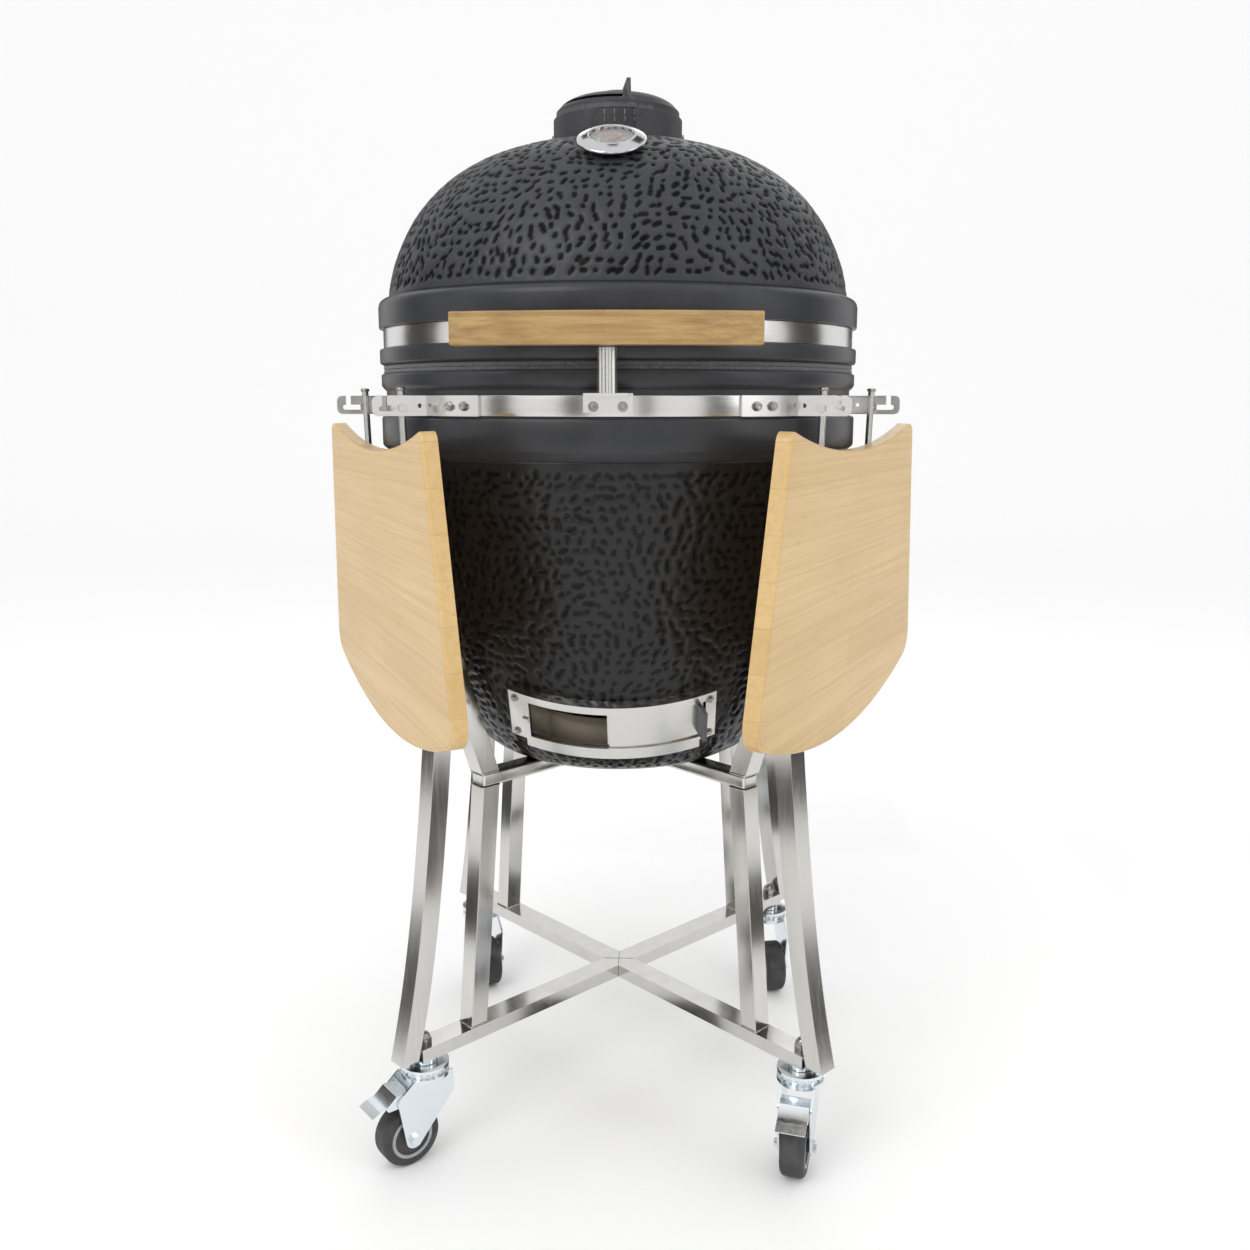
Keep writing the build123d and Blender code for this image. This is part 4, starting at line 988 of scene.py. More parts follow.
def beads(name, loops, key, node, radius):
    """Beads along loops of points, as one piece on the node's body."""
    points, edges = [], []
    for loop, is_closed in loops:
        first = len(points)
        points += loop
        edges += [(first + k, first + k + 1) for k in range(len(loop) - 1)]
        if is_closed:
            edges.append((len(points) - 1, first))
    piece = object_of(name, mesh_of(name + "_paths", points, [], edges), key)
    run_tree(piece, "bead", {"Radius": radius, "Seed": 3.0, "Material": MATERIALS[key]})
    return place(piece, node, stands_for=False)


def ring_places(centre, radius, count):
    """Places for parts on a level ring, each facing up."""
    spots = []
    for k in range(count):
        way = Vector((cos(2 * pi * k / count), sin(2 * pi * k / count), 0))
        spots.append((Vector(centre) + way * radius, Vector((0, 0, 1)), way))
    return spots


def label_mesh(body, size, matrix, thick):
    """Raised figures, flat on the matrix's x-y plane and centred on its origin."""
    text = bpy.data.curves.new("figures", "FONT")
    text.body = body
    text.size = size
    text.align_x = "CENTER"
    text.align_y = "CENTER"
    text.extrude = thick / 2
    carrier = linked("figures", text)
    depsgraph = bpy.context.evaluated_depsgraph_get()
    mesh = bpy.data.meshes.new_from_object(carrier.evaluated_get(depsgraph))
    bpy.data.objects.remove(carrier)
    mesh.transform(matrix)
    return mesh


# --- sizes shared with the frame --------------------------------------------------------------
def frame_sizes():
    """Heights and radii that the looks need, read from the CAD nodes' boxes."""
    lid_low, lid_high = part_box("lid_shell")
    base_low, base_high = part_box("base_shell")
    upper_low, upper_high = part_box("upper_band")
    lower_low, lower_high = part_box("lower_band")
    return {
        "rim": lid_high.x, "lid_low": lid_low.z, "lid_top": lid_high.z,
        "foot": base_low.z, "base_top": base_high.z, "band_r": upper_high.x,
        "upper": (upper_low.z, upper_high.z), "lower": (lower_low.z, lower_high.z),
    }


# dome: mm in from the rim's edge and up from the lid's lowest point
DOME = [
    (12.8, 79.2), (16.6, 102.0), (28.6, 138.0), (47.7, 173.0), (81.1, 209.8), (117.9, 234.4), (170.0, 254.0)
]
BELLY = [(125.0, 12.0), (93.0, 50.0), (66.0, 110.0), (45.0, 180.0), (29.0, 260.0), (18.0, 330.0)]
# azimuth from the front, distance, width, lowest and highest point of each dark card
CARDS = (
    (-100, 2.4, 1.2, 0.0, 2.6), (-52, 2.6, 0.5, 0.0, 2.4), (-17, 3.0, 0.55, 0.0, 2.0),
    (14, 3.0, 0.3, 0.0, 2.2), (47, 2.7, 0.6, 0.0, 2.4), (95, 2.4, 1.1, 0.0, 2.6),
    (150, 2.8, 0.8, 0.0, 2.2), (-150, 2.8, 0.8, 0.0, 2.2),
)
# middle x, y and z, width and depth of the level dark cards
LEVEL_CARDS = (
    (-1.15, 0.1, 0.003, 0.5, 1.6), (1.15, 0.1, 0.003, 0.5, 1.6), (0.72, -0.62, 0.003, 0.35, 0.5),
    (-0.72, -0.66, 0.003, 0.35, 0.5), (0, 0.95, 0.003, 1.2, 0.35), (0, 0, 0.003, 0.34, 0.34),
    (-0.6, 1.2, 3.0, 0.55, 0.8), (0.75, 0.7, 3.1, 0.5, 0.9), (0.0, -0.2, 3.2, 0.35, 0.5),
)
WALL = 24 * MM
VENT_SEAT = 82 * MM
THROAT = 58 * MM
SEAT = 6.6 * MM


# --- operators --------------------------------------------------------------------------------
class GRILL_OT_ceramic_lid(bpy.types.Operator):
    """Pitted dome and smooth grooved rim of the lid"""

    bl_idname = "grill.ceramic_lid"
    bl_label = "Ceramic lid"

    def execute(self, context):
        s = frame_sizes()
        rim, low, top = s["rim"], s["lid_low"], s["lid_top"]
        points = [(rim - i * MM, low + h * MM) for i, h in DOME] + [(VENT_SEAT, top)]
        outer = smooth_path(points, 2.65 * MM)
        hollow = [(rim - i * MM - WALL, low + h * MM * (1 - WALL / (top - low))) for i, h in DOME]
        hollow.append((VENT_SEAT - 10 * MM, top - WALL))
        inner = smooth_path(hollow, 16 * MM)[::-1]
        top_edge = [
            (VENT_SEAT - 2 * MM, top - 0.1 * MM), (THROAT + 1 * MM, top - 0.1 * MM),
            (THROAT, top - 1 * MM), (THROAT, inner[0][1]),
        ]
        outline = [*map(tuple, outer), *top_edge, *map(tuple, inner)]
        segments = ceramic().lid_segments
        mesh = lathe("lid_dome", outline, segments)
        pits(mesh, outline, 2, len(outer) - 4, segments, 11)
        dome = object_of("lid_dome", mesh, "glaze", "clay")
        paint_faces(
            mesh, lambda c, n: c.to_2d().length * n.to_2d().dot(c.to_2d().normalized()) < 0 and n.z < 0.2
        )
        place(dome, "lid_shell")

        ring_top = low + DOME[0][1] * MM
        groove = (s["upper"][0] - 0.15 * MM, s["upper"][1] + 0.15 * MM)
        shoulder = smooth_path(
            [
                (rim, ring_top - 10.5 * MM), (rim - 2.0 * MM, ring_top - 4.6 * MM),
                (rim - 6.4 * MM, ring_top - 1.1 * MM),
                (rim - DOME[0][0] * MM + 0.2 * MM, ring_top + 0.4 * MM),
            ],
            1.4 * MM,
        )
        inside = rim - DOME[0][0] * MM - WALL
        profile = [
            (inside + 1 * MM, low), (rim - 6 * MM, low), (rim - 4.6 * MM, low + 0.5 * MM),
            (rim - 1 * MM, low + 2.2 * MM), (rim, low + 4 * MM),
            (rim, groove[0] - 2.2 * MM), (rim - 0.6 * MM, groove[0] - 0.6 * MM),
            (rim - 2.2 * MM, groove[0]), (rim - SEAT, groove[0]),
            (rim - SEAT, groove[1]), (rim - 2.2 * MM, groove[1]),
            (rim - 0.6 * MM, groove[1] + 0.6 * MM), (rim, groove[1] + 2.2 * MM), *map(tuple, shoulder),
            (inside, ring_top + 0.4 * MM), (inside, low + 1 * MM),
        ]
        ring = object_of("lid_rim", lathe("lid_rim", profile, ceramic().ring_segments), "rim_glaze", "clay")
        ring.data.set_sharp_from_angle(angle=radians(40))
        paint_faces(ring.data, lambda c, n: c.to_2d().length < inside + 0.5 * MM)
        place(ring, "lid_shell")
        return {"FINISHED"}


class GRILL_OT_ceramic_base(bpy.types.Operator):
    """Pitted belly with the draft opening, and the smooth rings above it"""

    bl_idname = "grill.ceramic_base"
    bl_label = "Ceramic base"

    def execute(self, context):
        s = frame_sizes()
        rim, foot, top = s["rim"], s["foot"], s["base_top"]
        lower_groove = (top - 50.5 * MM, top - 20 * MM)
        ring_low = lower_groove[0] - 35 * MM
        split = ring_low - 10 * MM
        foot_r = 150 * MM
        points = [(foot_r, foot), *[(rim - i * MM, foot + h * MM) for i, h in BELLY], (rim - 12 * MM, split)]
        outer = smooth_path(points, 3.0 * MM)
        inner_points = [(foot_r - 4 * MM, foot + 27 * MM)]
        inner_points += [(rim - i * MM - WALL, foot + h * MM) for i, h in BELLY[1:]]
        inner_points.append((rim - 12 * MM - WALL, split))
        inner = smooth_path(inner_points, 18 * MM)[::-1]
        floor = [(r, foot + 27 * MM) for r in (100 * MM, 50 * MM, 0.0)]
        outline = [(0.0, foot), (70 * MM, foot), *map(tuple, outer), *map(tuple, inner), *floor]
        segments = ceramic().base_segments
        mesh = lathe("base_belly", outline, segments, closed=False)
        pits(mesh, outline, 6, len(outer) - 2, segments, 23)
        weld_poles(mesh)
        belly = object_of("base_belly", mesh, "belly_glaze", "clay")
        self.cut_opening(belly)
        paint_faces(
            belly.data, lambda c, n: c.z > foot + 20 * MM and n.to_2d().dot(c.to_2d()) < 0 or n.z > 0.8
        )
        place(belly, "base_shell")

        inside = rim - 12 * MM - WALL
        profile = [
            (inside, split - 0.4 * MM), (rim - 12 * MM, split - 0.4 * MM),
            (rim - 1.2 * MM, ring_low - 1.2 * MM), (rim, ring_low + 1 * MM),
            (rim, lower_groove[0] - 3 * MM), (rim - 0.9 * MM, lower_groove[0] - 0.9 * MM),
            (rim - 3 * MM, lower_groove[0]), (rim - SEAT, lower_groove[0]), (rim - SEAT, lower_groove[1]),
            (rim - 6 * MM, lower_groove[1]), (rim - 3.2 * MM, lower_groove[1] + 2.6 * MM),
            (rim - 1 * MM, lower_groove[1] + 6 * MM), (rim - 1 * MM, top - 2.4 * MM),
            (rim - 1.8 * MM, top - 0.8 * MM), (rim - 3.4 * MM, top), (inside, top),
        ]
        ring = object_of("base_rim", lathe("base_rim", profile, ceramic().ring_segments), "rim_glaze", "clay")
        ring.data.set_sharp_from_angle(angle=radians(40))
        paint_faces(ring.data, lambda c, n: c.to_2d().length < inside + 0.5 * MM)
        place(ring, "base_shell")
        return {"FINISHED"}

    def cut_opening(self, belly):
        """Opening for the draft duct, on the draft door's tilted cylinder."""
        cutter = draft_block(148.0, 252.0, -23.4, -0.2, 60.0, 5.0)
        shape = linked("opening", cutter)
        cut = belly.modifiers.new("Opening", "BOOLEAN")
        cut.operation = "DIFFERENCE"
        cut.solver = "EXACT"
        cut.object = shape
        baked(belly)
        bpy.data.objects.remove(shape)


def draft_axes():
    """Origin and axes of the draft door's cylinder: across, up the cylinder, and inwards."""
    tilt = radians(DRAFT_TILT)
    inwards = Vector((0, cos(tilt), sin(tilt)))
    upwards = Vector((0, -sin(tilt), cos(tilt)))
    centre = Vector(DRAFT_SEAT) + inwards * (DRAFT_RADIUS * MM)
    return centre, upwards, inwards


def draft_point(radius, angle, up):
    centre, upwards, inwards = draft_axes()
    a = radians(angle)
    out = Vector((sin(a), 0, 0)) - inwards * cos(a)
    return centre + upwards * (up * MM) + out * (radius * MM)


def draft_block(r_in, r_out, from_deg, to_deg, height, up, steps=12):
    """Closed sector block about the draft cylinder's axis."""
    points, faces = [], []
    for k in range(steps + 1):
        angle = from_deg + (to_deg - from_deg) * k / steps
        for radius, z in ((r_in, -1), (r_out, -1), (r_out, 1), (r_in, 1)):
            points.append(draft_point(radius, angle, up + z * height / 2))
    for k in range(steps):
        a, b = 4 * k, 4 * k + 4
        faces += [(a + i, b + i, b + (i + 1) % 4, a + (i + 1) % 4) for i in range(4)]
    faces += [(3, 2, 1, 0), tuple(4 * steps + i for i in range(4))]
    return faced_out(mesh_of("sector", points, faces))


class GRILL_OT_inner_parts(bpy.types.Operator):
    """Fire box, fire ring, charcoal grate and cooking grid inside the body"""

    bl_idname = "grill.inner_parts"
    bl_label = "Inner parts"

    def execute(self, context):
        softened("fire_box", "clay", 2.5 * MM)
        softened("fire_ring", "clay", 2.5 * MM)
        softened("charcoal_grate", "grate", 1.2 * MM)
        self.cooking_grid()
        return {"FINISHED"}

    def cooking_grid(self):
        low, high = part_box("cooking_grid")
        radius, middle = high.x, (low.z + high.z) / 2
        bar_r = 1.9 * MM
        lines = [((k * 18 * MM, 0, middle), "X") for k in range(-11, 12)]
        lines += [((0, y, middle - 1 * MM), "Y") for y in (-200 * MM, 200 * MM)]
        parts = []
        for (x, y, z), axis in lines:
            off = x + y
            half = sqrt((radius - 4 * MM) ** 2 - off * off)
            bar = turned_part("bar", [(0, -half), (bar_r, -half), (bar_r, half), (0, half)], 10)
            bar.transform(Matrix.Translation((x, y, z)) @ Matrix.Rotation(pi / 2, 4, axis))
            parts.append(bar)
        turn = np.linspace(0, 2 * pi, 10, endpoint=False)
        hoop_r = 2.9 * MM
        section = [(radius - hoop_r + hoop_r * cos(t), middle + hoop_r * sin(t)) for t in turn]
        parts.append(lathe("hoop", section, 160))
        grid = object_of("cooking_grid.wire", joined("cooking_grid", parts), "grid")
        place(grid, "cooking_grid")


class GRILL_OT_bands(bpy.types.Operator):
    """Two steel bands with rolled edges, their bolts, and the two felt gaskets"""

    bl_idname = "grill.bands"
    bl_label = "Bands and gaskets"

    def execute(self, context):
        s = frame_sizes()
        for node, (low, high) in (("upper_band", s["upper"]), ("lower_band", s["lower"])):
            r = s["band_r"]
            inner = r - 1.5 * MM
            profile = [
                (inner, low), (r - 0.6 * MM, low), (r - 0.15 * MM, low + 0.2 * MM), (r, low + 0.7 * MM),
                (r, high - 0.7 * MM), (r - 0.15 * MM, high - 0.2 * MM), (r - 0.6 * MM, high), (inner, high),
            ]
            piece = object_of(node + ".rolled", lathe(node, profile, 300), "band")
            piece.data.set_sharp_from_angle(angle=radians(50))
            place(piece, node)
        for node in ("base_gasket", "lid_gasket"):
            self.gasket(node)
        self.bolts()
        return {"FINISHED"}

    def gasket(self, node):
        """Felt strip with a soft outer edge."""
        low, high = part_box(node)
        r, t = high.x, high.z - low.z
        profile = [(r - 22 * MM, low.z)]
        for k in range(7):
            a = -pi / 2 + pi * k / 6
            profile.append((r - 1.6 * MM + 1.6 * MM * cos(a), low.z + t / 2 + t / 2 * sin(a)))
        profile.append((r - 22 * MM, high.z))
        piece = object_of(node + ".felt", lathe(node, profile, 240), "felt")
        place(piece, node)

    def bolts(self):
        band_r = frame_sizes()["band_r"]
        z = (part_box("lower_band")[0].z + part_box("lower_band")[1].z) / 2 - 0.5 * MM
        spots = []
        for side in (-1, 1):
            for end in (-1, 1):
                for offset in (27.5, 31.6):
                    spots.append((side * (BOARD_AZIMUTH + end * offset), band_r + 3.1 * MM))
            half = degrees(asin(15 * MM / band_r))
            spots.append((side * half, (band_r + 4.4 * MM) / cos(radians(half))))
        places = []
        for azimuth, reach in spots:
            a = radians(azimuth)
            way = Vector((sin(a), -cos(a), 0))
            side = Vector((cos(a * 7), 0, sin(a * 7)))
            places.append((way * reach + Vector((0, 0, z)), way, side))
        piece = repeated("band_bolts", places, hex_bolt(4.6 * MM, 3.5 * MM, 5.5 * MM, 1.0 * MM), "bolt")
        place(piece, "lower_band_bolts")


class GRILL_OT_handle(bpy.types.Operator):
    """Bamboo handle bar, its brackets and its rest on the base"""

    bl_idname = "grill.handle"
    bl_label = "Handle"

    def execute(self, context):
        dress("handle_bar", "handle")
        softened("handle_brackets", "plate", 0.8 * MM)
        softened("handle_rest", "plate", 0.5 * MM)
        return {"FINISHED"}


class GRILL_OT_rear_hinge(bpy.types.Operator):
    """Rear hinge: two pairs of cheeks on the bands, and the pin with its nuts"""

    bl_idname = "grill.rear_hinge"
    bl_label = "Rear hinge"

    def execute(self, context):
        for node in ("hinge_upper_bracket", "hinge_lower_bracket"):
            softened(node, "plate", 0.7 * MM)
        softened("hinge_pin", "bolt", 0.7 * MM)
        return {"FINISHED"}


class GRILL_OT_draft_door(bpy.types.Operator):
    """Sliding draft door in its curved frame, with its grip and screws"""

    bl_idname = "grill.draft_door"
    bl_label = "Draft door"

    def execute(self, context):
        softened("draft_frame", "plate", 0.45 * MM)
        softened("draft_door", "plate", 0.3 * MM)
        softened("draft_knob", "knob", 0.7 * MM)
        self.screws()
        self.stop_tab()
        return {"FINISHED"}

    def screws(self):
        places = []
        for angle in (-26.4, 26.4):
            for up in (-22.0, 32.0):
                spot = draft_point(DRAFT_RADIUS, angle, up)
                way = (draft_point(DRAFT_RADIUS + 1, angle, up) - spot).normalized()
                places.append((spot, way, Vector((cos(angle + up), 0, sin(angle + up)))))
        screw = hex_bolt(3.6 * MM, 2.0 * MM, 5.0 * MM, 0.9 * MM)
        piece = repeated("draft_corner_screws", places, screw, "bolt")
        place(piece, "draft_screws")

    def stop_tab(self):
        """Small lug that stops the door at the window's closed end."""
        tab = object_of("draft_stop_tab", draft_block(254.4, 257.2, -24.4, -22.6, 6.0, 2.0, 3), "plate")
        rounded(tab, 0.4 * MM)
        place(tab, "draft_frame", stands_for=False)


class GRILL_OT_top_vent(bpy.types.Operator):
    """Cast vent: collar with its scale, turning cap and set screws"""

    bl_idname = "grill.top_vent"
    bl_label = "Top vent"

    def execute(self, context):
        softened("top_vent_collar", "iron", 1.3 * MM)
        softened("top_vent_cap", "iron", 1.1 * MM)
        self.set_screws()
        self.scale()
        return {"FINISHED"}

    def set_screws(self):
        low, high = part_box("top_vent_collar")
        places = []
        for side in (-1, 1):
            way = Vector((side, 0, 0))
            places.append((Vector((side * (high.x - 0.3 * MM), 0, low.z + 12 * MM)), way, Vector((0, 0, 1))))
        profile = [(0, -0.4), (3, -0.4), (3, 2), (2.4, 2.7), (1.4, 2.7), (1.2, 1.6), (0, 1.6)]
        screw = turned_part("set_screw", in_mm(profile), 20)
        piece = repeated("vent_set_screws", places, screw, "bolt")
        place(piece, "top_vent_screws")

    def scale(self):
        """Raised ticks and figures in the collar's recess."""
        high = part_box("top_vent_collar")[1]
        face = high.x - 3.2 * MM
        places, parts = [], []
        for k in range(5):
            azimuth = radians(-19 + 9 * k)
            way = Vector((sin(azimuth), -cos(azimuth), 0))
            places.append((way * face + Vector((0, 0, high.z - 4.6 * MM)), way, Vector((0, 0, 1))))
            turn = Matrix.Rotation(azimuth, 4, "Z") @ Matrix.Translation((0, -face, high.z - 12.4 * MM))
            parts.append(label_mesh(str(k), 7.5 * MM, turn @ Matrix.Rotation(pi / 2, 4, "X"), 1.0 * MM))
        ticks = repeated("vent_scale_ticks", places, box_mesh(6 * MM, 1.1 * MM, 1.2 * MM), "mark")
        place(ticks, "top_vent_collar", stands_for=False)
        figures = object_of("vent_scale_figures", joined("figures", parts), "mark")
        place(figures, "top_vent_collar", stands_for=False)


class GRILL_OT_thermometer(bpy.types.Operator):
    """Thermometer: chrome ring, printed dial, needle and glass"""

    bl_idname = "grill.thermometer"
    bl_label = "Thermometer"

    def execute(self, context):
        self.ring()
        for word, key in (("dial", "dial"), ("glass", "glass"), ("probe", "rod"), ("needle", "needle")):
            dress("thermometer_" + word, key)
        self.zones()
        self.ticks()
        return {"FINISHED"}

    def plane(self, height):
        """Matrix of the dial's plane at a height over the thermometer's seat."""
        tilt = radians(DIAL_TILT)
        normal = Vector((0, -sin(tilt), cos(tilt)))
        up = Vector((0, cos(tilt), sin(tilt)))
        matrix = Matrix((Vector((1, 0, 0)), up, normal)).transposed().to_4x4()
        matrix.translation = Vector(DIAL_CENTRE) + normal * height
        return matrix

    def ring(self):
        """Turned ring with a broad conical face and a rolled inner lip."""
        profile = [
            (4, 2.0), (29.5, 2.0), (33.5, 3.2), (36.6, 5.0), (37.8, 6.4), (38.0, 7.2), (37.7, 8.0),
            (36.6, 8.8), (31.5, 11.0), (27.6, 12.5), (26.2, 12.95), (25.0, 12.9), (24.2, 12.3),
            (24.0, 11.2), (24.0, 4.0), (4, 4.0),
        ]
        mesh = lathe("thermometer_ring", in_mm(profile), 128)
        mesh.transform(self.plane(0.0))
        mesh.set_sharp_from_angle(angle=radians(42))
        place(object_of("thermometer_ring", mesh, "chrome"), "thermometer_bezel")

    def zones(self):
        s = dial()
        spans = (
            ("dial_low_zone", 205, 150, "warm"), ("dial_mid_zone", 149, 60, "hot"),
            ("dial_high_zone", 59, 10, "warm"),
        )
        for name, start, stop, key in spans:
            points, faces = [], []
            steps = 16
            for k in range(steps + 1):
                a = radians(start + (stop - start) * k / steps)
                for radius in (s.zone_radius, s.zone_radius + 1.8 * MM):
                    for z in (0, 0.25 * MM):
                        points.append((radius * cos(a), radius * sin(a), z))
            for k in range(steps):
                a, b = 4 * k, 4 * k + 4
                faces += [(a, b, b + 1, a + 1), (a + 2, a + 3, b + 3, b + 2), (a + 1, b + 1, b + 3, a + 3)]
                faces += [(a, a + 2, b + 2, b)]
            faces += [(0, 1, 3, 2), (4 * steps, 4 * steps + 2, 4 * steps + 3, 4 * steps + 1)]
            mesh = faced_out(mesh_of(name, points, faces))
            mesh.transform(self.plane(5.2 * MM))
            place(object_of(name, mesh, key), "thermometer_dial", stands_for=False)

    def ticks(self):
        s = dial()
        matrix = self.plane(5.3 * MM)
        normal = matrix.to_3x3() @ Vector((0, 0, 1))
        places, parts = [], []
        for k in range(s.ticks):
            a = radians(225 - 270 * k / (s.ticks - 1))
            out = matrix.to_3x3() @ Vector((cos(a), sin(a), 0))
            places.append((matrix.translation + out * s.tick_radius, normal, out))
        ticks = repeated("dial_ticks", places, box_mesh(2.4 * MM, 0.35 * MM, 0.3 * MM), "print")
        place(ticks, "thermometer_dial", stands_for=False)
        for k in range(6):
            a = radians(225 - 54 * k)
            spot = Matrix.Translation((17.2 * MM * cos(a), 17.2 * MM * sin(a), 0))
            parts.append(label_mesh(str(50 * (k + 1)), 2.8 * MM, matrix @ spot, 0.3 * MM))
        figures = object_of("dial_figures", joined("figures", parts), "print")
        place(figures, "thermometer_dial", stands_for=False)


class GRILL_OT_side_shelves(bpy.types.Operator):
    """Folding bamboo shelves with their rods, pins and slotted brackets"""

    bl_idname = "grill.side_shelves"
    bl_label = "Side shelves"

    def execute(self, context):
        softened("shelf_brackets", "plate", 0.5 * MM)
        for word, side in SIDES.items():
            dress("shelf_board_" + word, "board_" + word)
            softened("shelf_rods_" + word, "rod", 0.5 * MM)
            self.rod_caps(word, side)
        return {"FINISHED"}

    def rod_caps(self, word, side):
        """Rounded caps on the rods' upper ends."""
        azimuth, lean = radians(BOARD_AZIMUTH), radians(SHELF_LEAN)
        normal = Vector((side * sin(azimuth), -cos(azimuth), 0))
        level = Vector((-normal.y, normal.x, 0))
        up = normal * sin(lean) + Vector((0, 0, cos(lean)))
        reach, height = SHELF_PIVOT
        pivot = normal * reach + Vector((0, 0, height))
        places = [(pivot + level * (end * ROD_HALF) + up * 19 * MM, up, level) for end in (-1, 1)]
        profile = [(0, 0), (4.9, 0), (5.4, 0.8), (5.4, 2.6), (4.6, 3.5), (2.8, 4.0), (0, 4.2)]
        cap = turned_part("rod_cap", in_mm(profile), 24)
        cap.shade_smooth()
        piece = repeated("rod_caps_" + word, places, cap, "bolt")
        place(piece, "shelf_rods_" + word, stands_for=False)


class GRILL_OT_stand(bpy.types.Operator):
    """Four-legged stand of square tubes with its welds and cap nuts"""

    bl_idname = "grill.stand"
    bl_label = "Stand"

    def execute(self, context):
        width = metal().tube_round
        for corner in CORNERS:
            softened("outer_leg_" + corner, "tube", width, 3)
        for node in ("inner_posts", "cradle_arms"):
            softened(node, "tube", width, 3)
        for node in ("upper_cross", "lower_cross"):
            softened(node, "level_tube", width, 3)
        softened("caster_stems", "zinc", 0.6 * MM)
        self.cap_nuts()
        self.welds()
        return {"FINISHED"}

    def cap_nuts(self):
        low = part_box("stem_nuts")[0].z
        angles = np.linspace(0, pi / 2, 9)[:-1]
        curve = [(7.3 * MM * cos(a), 8 * MM + 7.4 * MM * sin(a)) for a in angles]
        flats = in_mm([(0, 0), (9.3, 0), (9.3, 8), (7.4, 8.2), (0, 8.2)])
        nut = joined("cap_nut", [
            turned_part("nut", flats, 6, 0.8 * MM),
            turned_part("dome", [(0, 7.8 * MM), *curve, (0, 15.4 * MM)], 32),
        ])
        places = []
        for k, angle in enumerate(QUARTERS):
            a = radians(angle)
            spot = Vector((STEM_OUT * cos(a), STEM_OUT * sin(a), low))
            places.append((spot, Vector((0, 0, 1)), Vector((cos(k * 1.3), sin(k * 1.3), 0))))
        place(repeated("cap_nuts", places, nut, "bolt"), "stem_nuts")

    def welds(self):
        """Beads round the feet and heads of the posts and arms, and at the middle of the crosses."""
        beam_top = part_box("lower_cross")[1].z
        cross_low, cross_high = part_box("upper_cross")[0].z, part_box("upper_cross")[1].z
        loops = []
        half, depth = 12.5 * MM, 12.2 * MM
        signs = ((-1, -1), (1, -1), (1, 1), (-1, 1))
        for angle in QUARTERS:
            a = radians(angle)
            out, side = Vector((cos(a), sin(a), 0)), Vector((-sin(a), cos(a), 0))
            for radius, z in ((250 * MM, beam_top), (223 * MM, cross_low), (224 * MM, cross_high)):
                middle = out * radius + Vector((0, 0, z))
                corners = [middle + out * (u * depth) + side * (v * half) for u, v in signs]
                loops.append((corners, True))
        beads("stand_welds", loops, "level_tube", "lower_cross", metal().bead)
        seams = []
        for z, width, drop in ((beam_top, 15 * MM, 16 * MM), (cross_high, half, 17 * MM)):
            for u, v in ((1, 0), (0, 1), (-1, 0), (0, -1)):
                corner = Vector((u, v, 0)) * (width * sqrt(2)) + Vector((0, 0, z))
                seams.append(([Vector((0, 0, z)), corner, corner - Vector((0, 0, drop))], False))
        beads("cross_seams", seams, "seam", "lower_cross", 0.35 * MM)


class GRILL_OT_casters(bpy.types.Operator):
    """Swivel casters: forks with ball races, tyres, hubs and brake pedals"""

    bl_idname = "grill.casters"
    bl_label = "Casters"

    def execute(self, context):
        for corner in CORNERS:
            softened("caster_fork_" + corner, "zinc", 0.9 * MM)
            softened("caster_tyre_" + corner, "tyre", 0.6 * MM)
            softened("caster_hub_" + corner, "hub", 0.6 * MM)
            self.race(corner)
            self.hub_rings(corner)
            if "brake_pedal_" + corner in frame["nodes"]:
                softened("brake_pedal_" + corner, "zinc", 0.4 * MM)
        return {"FINISHED"}

    def stem(self, corner):
        angle = radians(LEG_AZIMUTHS[corner])
        return Vector((STEM_OUT * cos(angle), STEM_OUT * sin(angle), 0))

    def race(self, corner):
        """Balls between the fork's two dished plates."""
        spots = ring_places(self.stem(corner) + Vector((0, 0, 115.5 * MM)), 25.4 * MM, 20)
        balls = repeated("race_balls_" + corner, spots, ball(2.5 * MM), "zinc")
        place(balls, "caster_fork_" + corner, stands_for=False)

    def hub_rings(self, corner):
        """Pale rings on both faces of the hub, just inside the tyre."""
        low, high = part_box("caster_hub_" + corner)
        centre = (low + high) / 2
        heading = radians(AXLE_HEADINGS[corner])
        axle = Vector((sin(heading), -cos(heading), 0))
        parts = []
        for side in (-1, 1):
            profile = [
                (22.6, 13.2), (26.4, 13.2), (26.9, 13.6), (26.9, 14.4),
                (26.3, 14.9), (23.2, 14.9), (22.6, 14.4),
            ]
            ring = lathe("hub_ring", in_mm(profile), 72)
            turn = (axle * side).to_track_quat("Z", "Y").to_matrix().to_4x4()
            ring.transform(Matrix.Translation(centre) @ turn)
            parts.append(ring)
        piece = object_of("hub_rings_" + corner, joined("hub_rings", parts), "hub_ring")
        place(piece, "caster_hub_" + corner, stands_for=False)


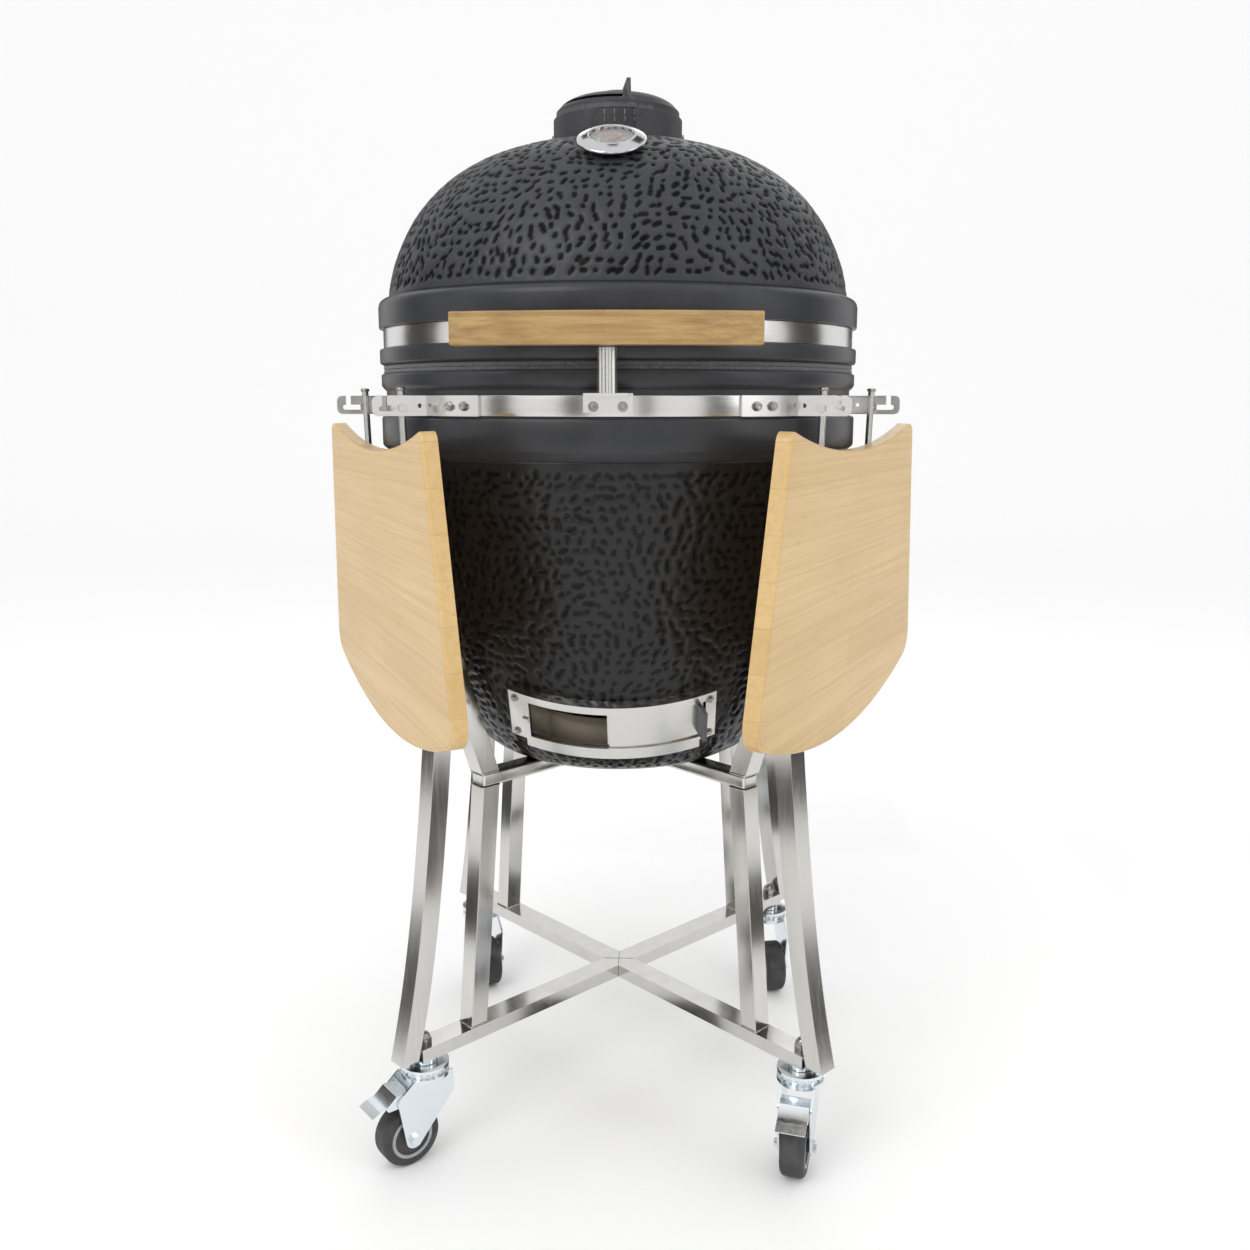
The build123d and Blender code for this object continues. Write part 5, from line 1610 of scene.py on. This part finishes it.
class GRILL_OT_stage(bpy.types.Operator):
    """Pale floor with a curved backdrop, soft boxes and the camera"""

    bl_idname = "grill.stage"
    bl_label = "Stage"

    def execute(self, context):
        s = context.scene.kamado_stage
        self.backdrop(s)
        self.cards(s)
        self.lights(s)
        data = bpy.data.cameras.new("view")
        data.lens = s.lens
        data.sensor_width = 36
        camera = linked("view", data)
        camera.location = (0.05524, -1.54574, 0.917)
        camera.rotation_euler = (radians(79.18), 0, radians(1.7246))
        data.dof.use_dof = False
        context.scene.camera = camera
        context.scene.view_settings.view_transform = "Standard"
        return {"FINISHED"}

    def backdrop(self, s):
        floor_z = CAD_BOX[0][2]
        half, bend, wall = 7.0, 1.6, 5.0
        section = [(-half, floor_z)]
        for k in range(13):
            a = pi / 2 * k / 12
            section.append((half - bend + bend * sin(a), floor_z + bend - bend * cos(a)))
        section.append((half, floor_z + wall))
        points = [(x, y, z) for y, z in section for x in (-half, half)]
        faces = [(2 * k, 2 * k + 1, 2 * k + 3, 2 * k + 2) for k in range(len(section) - 1)]
        mesh = mesh_of("floor", points, faces)
        mesh.shade_smooth()
        floor = linked("floor", mesh)
        f = Finish("floor_paper", s.floor, 0.8)
        f.bump([(f.grain((40, 40, 40), 3.0), 0.0005)], 0.1)
        mesh.materials.append(f.material)

    def cards(self, s):
        """Dark cards round the grill, seen only in its reflections."""
        dark = Finish("card_paper", s.card, 0.9).material
        shapes = []
        for azimuth, distance, width, low, high in CARDS:
            a = radians(azimuth)
            way, side = Vector((sin(a), -cos(a), 0)), Vector((cos(a), sin(a), 0))
            sides = ((-1, low), (1, low), (1, high), (-1, high))
            shapes.append([way * distance + side * (u * width / 2) + Vector((0, 0, v)) for u, v in sides])
        for x, y, z, width, depth in LEVEL_CARDS:
            sides = ((-1, -1), (1, -1), (1, 1), (-1, 1))
            shapes.append([(x + u * width / 2, y + v * depth / 2, z) for u, v in sides])
        for k, points in enumerate(shapes):
            mesh = mesh_of("card", points, [(0, 1, 2, 3)])
            mesh.materials.append(dark)
            card = linked(f"card_{k}", mesh)
            card.visible_camera = card.visible_shadow = card.visible_diffuse = False

    def lights(self, s):
        world = bpy.data.worlds.new("studio")
        world.use_nodes = True
        world.node_tree.nodes["Background"].inputs["Color"].default_value = (1, 1, 1, 1)
        world.node_tree.nodes["Background"].inputs["Strength"].default_value = s.sky
        bpy.context.scene.world = world
        boxes = (
            ("key", (-1.7, -2.3, 2.9), (1.8, 1.8), s.key),
            ("fill", (2.4, -1.6, 1.9), (1.4, 2.2), s.fill),
            ("rim", (0.3, 2.6, 2.6), (2.4, 1.2), s.fill),
        )
        for name, spot, size, power in boxes:
            light = bpy.data.lights.new(name, "AREA")
            light.shape = "RECTANGLE"
            light.size, light.size_y = size
            light.energy = power
            lamp = linked(name, light)
            lamp.location = spot
            lamp.rotation_euler = (Vector((0, 0, 0.7)) - Vector(spot)).to_track_quat("-Z", "Y").to_euler()


STEPS = (
    GRILL_OT_ceramic_lid,
    GRILL_OT_ceramic_base,
    GRILL_OT_inner_parts,
    GRILL_OT_bands,
    GRILL_OT_handle,
    GRILL_OT_rear_hinge,
    GRILL_OT_draft_door,
    GRILL_OT_top_vent,
    GRILL_OT_thermometer,
    GRILL_OT_side_shelves,
    GRILL_OT_stand,
    GRILL_OT_casters,
    GRILL_OT_stage,
)
SETTINGS = {
    "kamado_ceramic": CeramicSettings,
    "kamado_metal": MetalSettings,
    "kamado_wood": WoodSettings,
    "kamado_dial": DialSettings,
    "kamado_stage": StageSettings,
}


class GRILL_PT_panel(bpy.types.Panel):
    """Lists the grill's pieces and the stage"""

    bl_idname = "GRILL_PT_panel"
    bl_label = "Kamado grill"
    bl_space_type = "VIEW_3D"
    bl_region_type = "UI"
    bl_category = "Kamado"

    def draw(self, context):
        for step in STEPS:
            self.layout.operator(step.bl_idname)
        for key in SETTINGS:
            group = getattr(context.scene, key)
            for name in group.bl_rna.properties.keys():
                if name not in ("rna_type", "name"):
                    self.layout.prop(group, name)


def register():
    for key, group in SETTINGS.items():
        bpy.utils.register_class(group)
        setattr(bpy.types.Scene, key, PointerProperty(type=group))
    for step in STEPS:
        bpy.utils.register_class(step)
    bpy.utils.register_class(GRILL_PT_panel)


def unregister():
    bpy.utils.unregister_class(GRILL_PT_panel)
    for step in reversed(STEPS):
        bpy.utils.unregister_class(step)
    for key, group in SETTINGS.items():
        delattr(bpy.types.Scene, key)
        bpy.utils.unregister_class(group)


def main():
    register()
    make_materials()
    for step in STEPS:
        space, name = step.bl_idname.split(".")
        getattr(getattr(bpy.ops, space), name)()


if __name__ == "__main__":
    main()
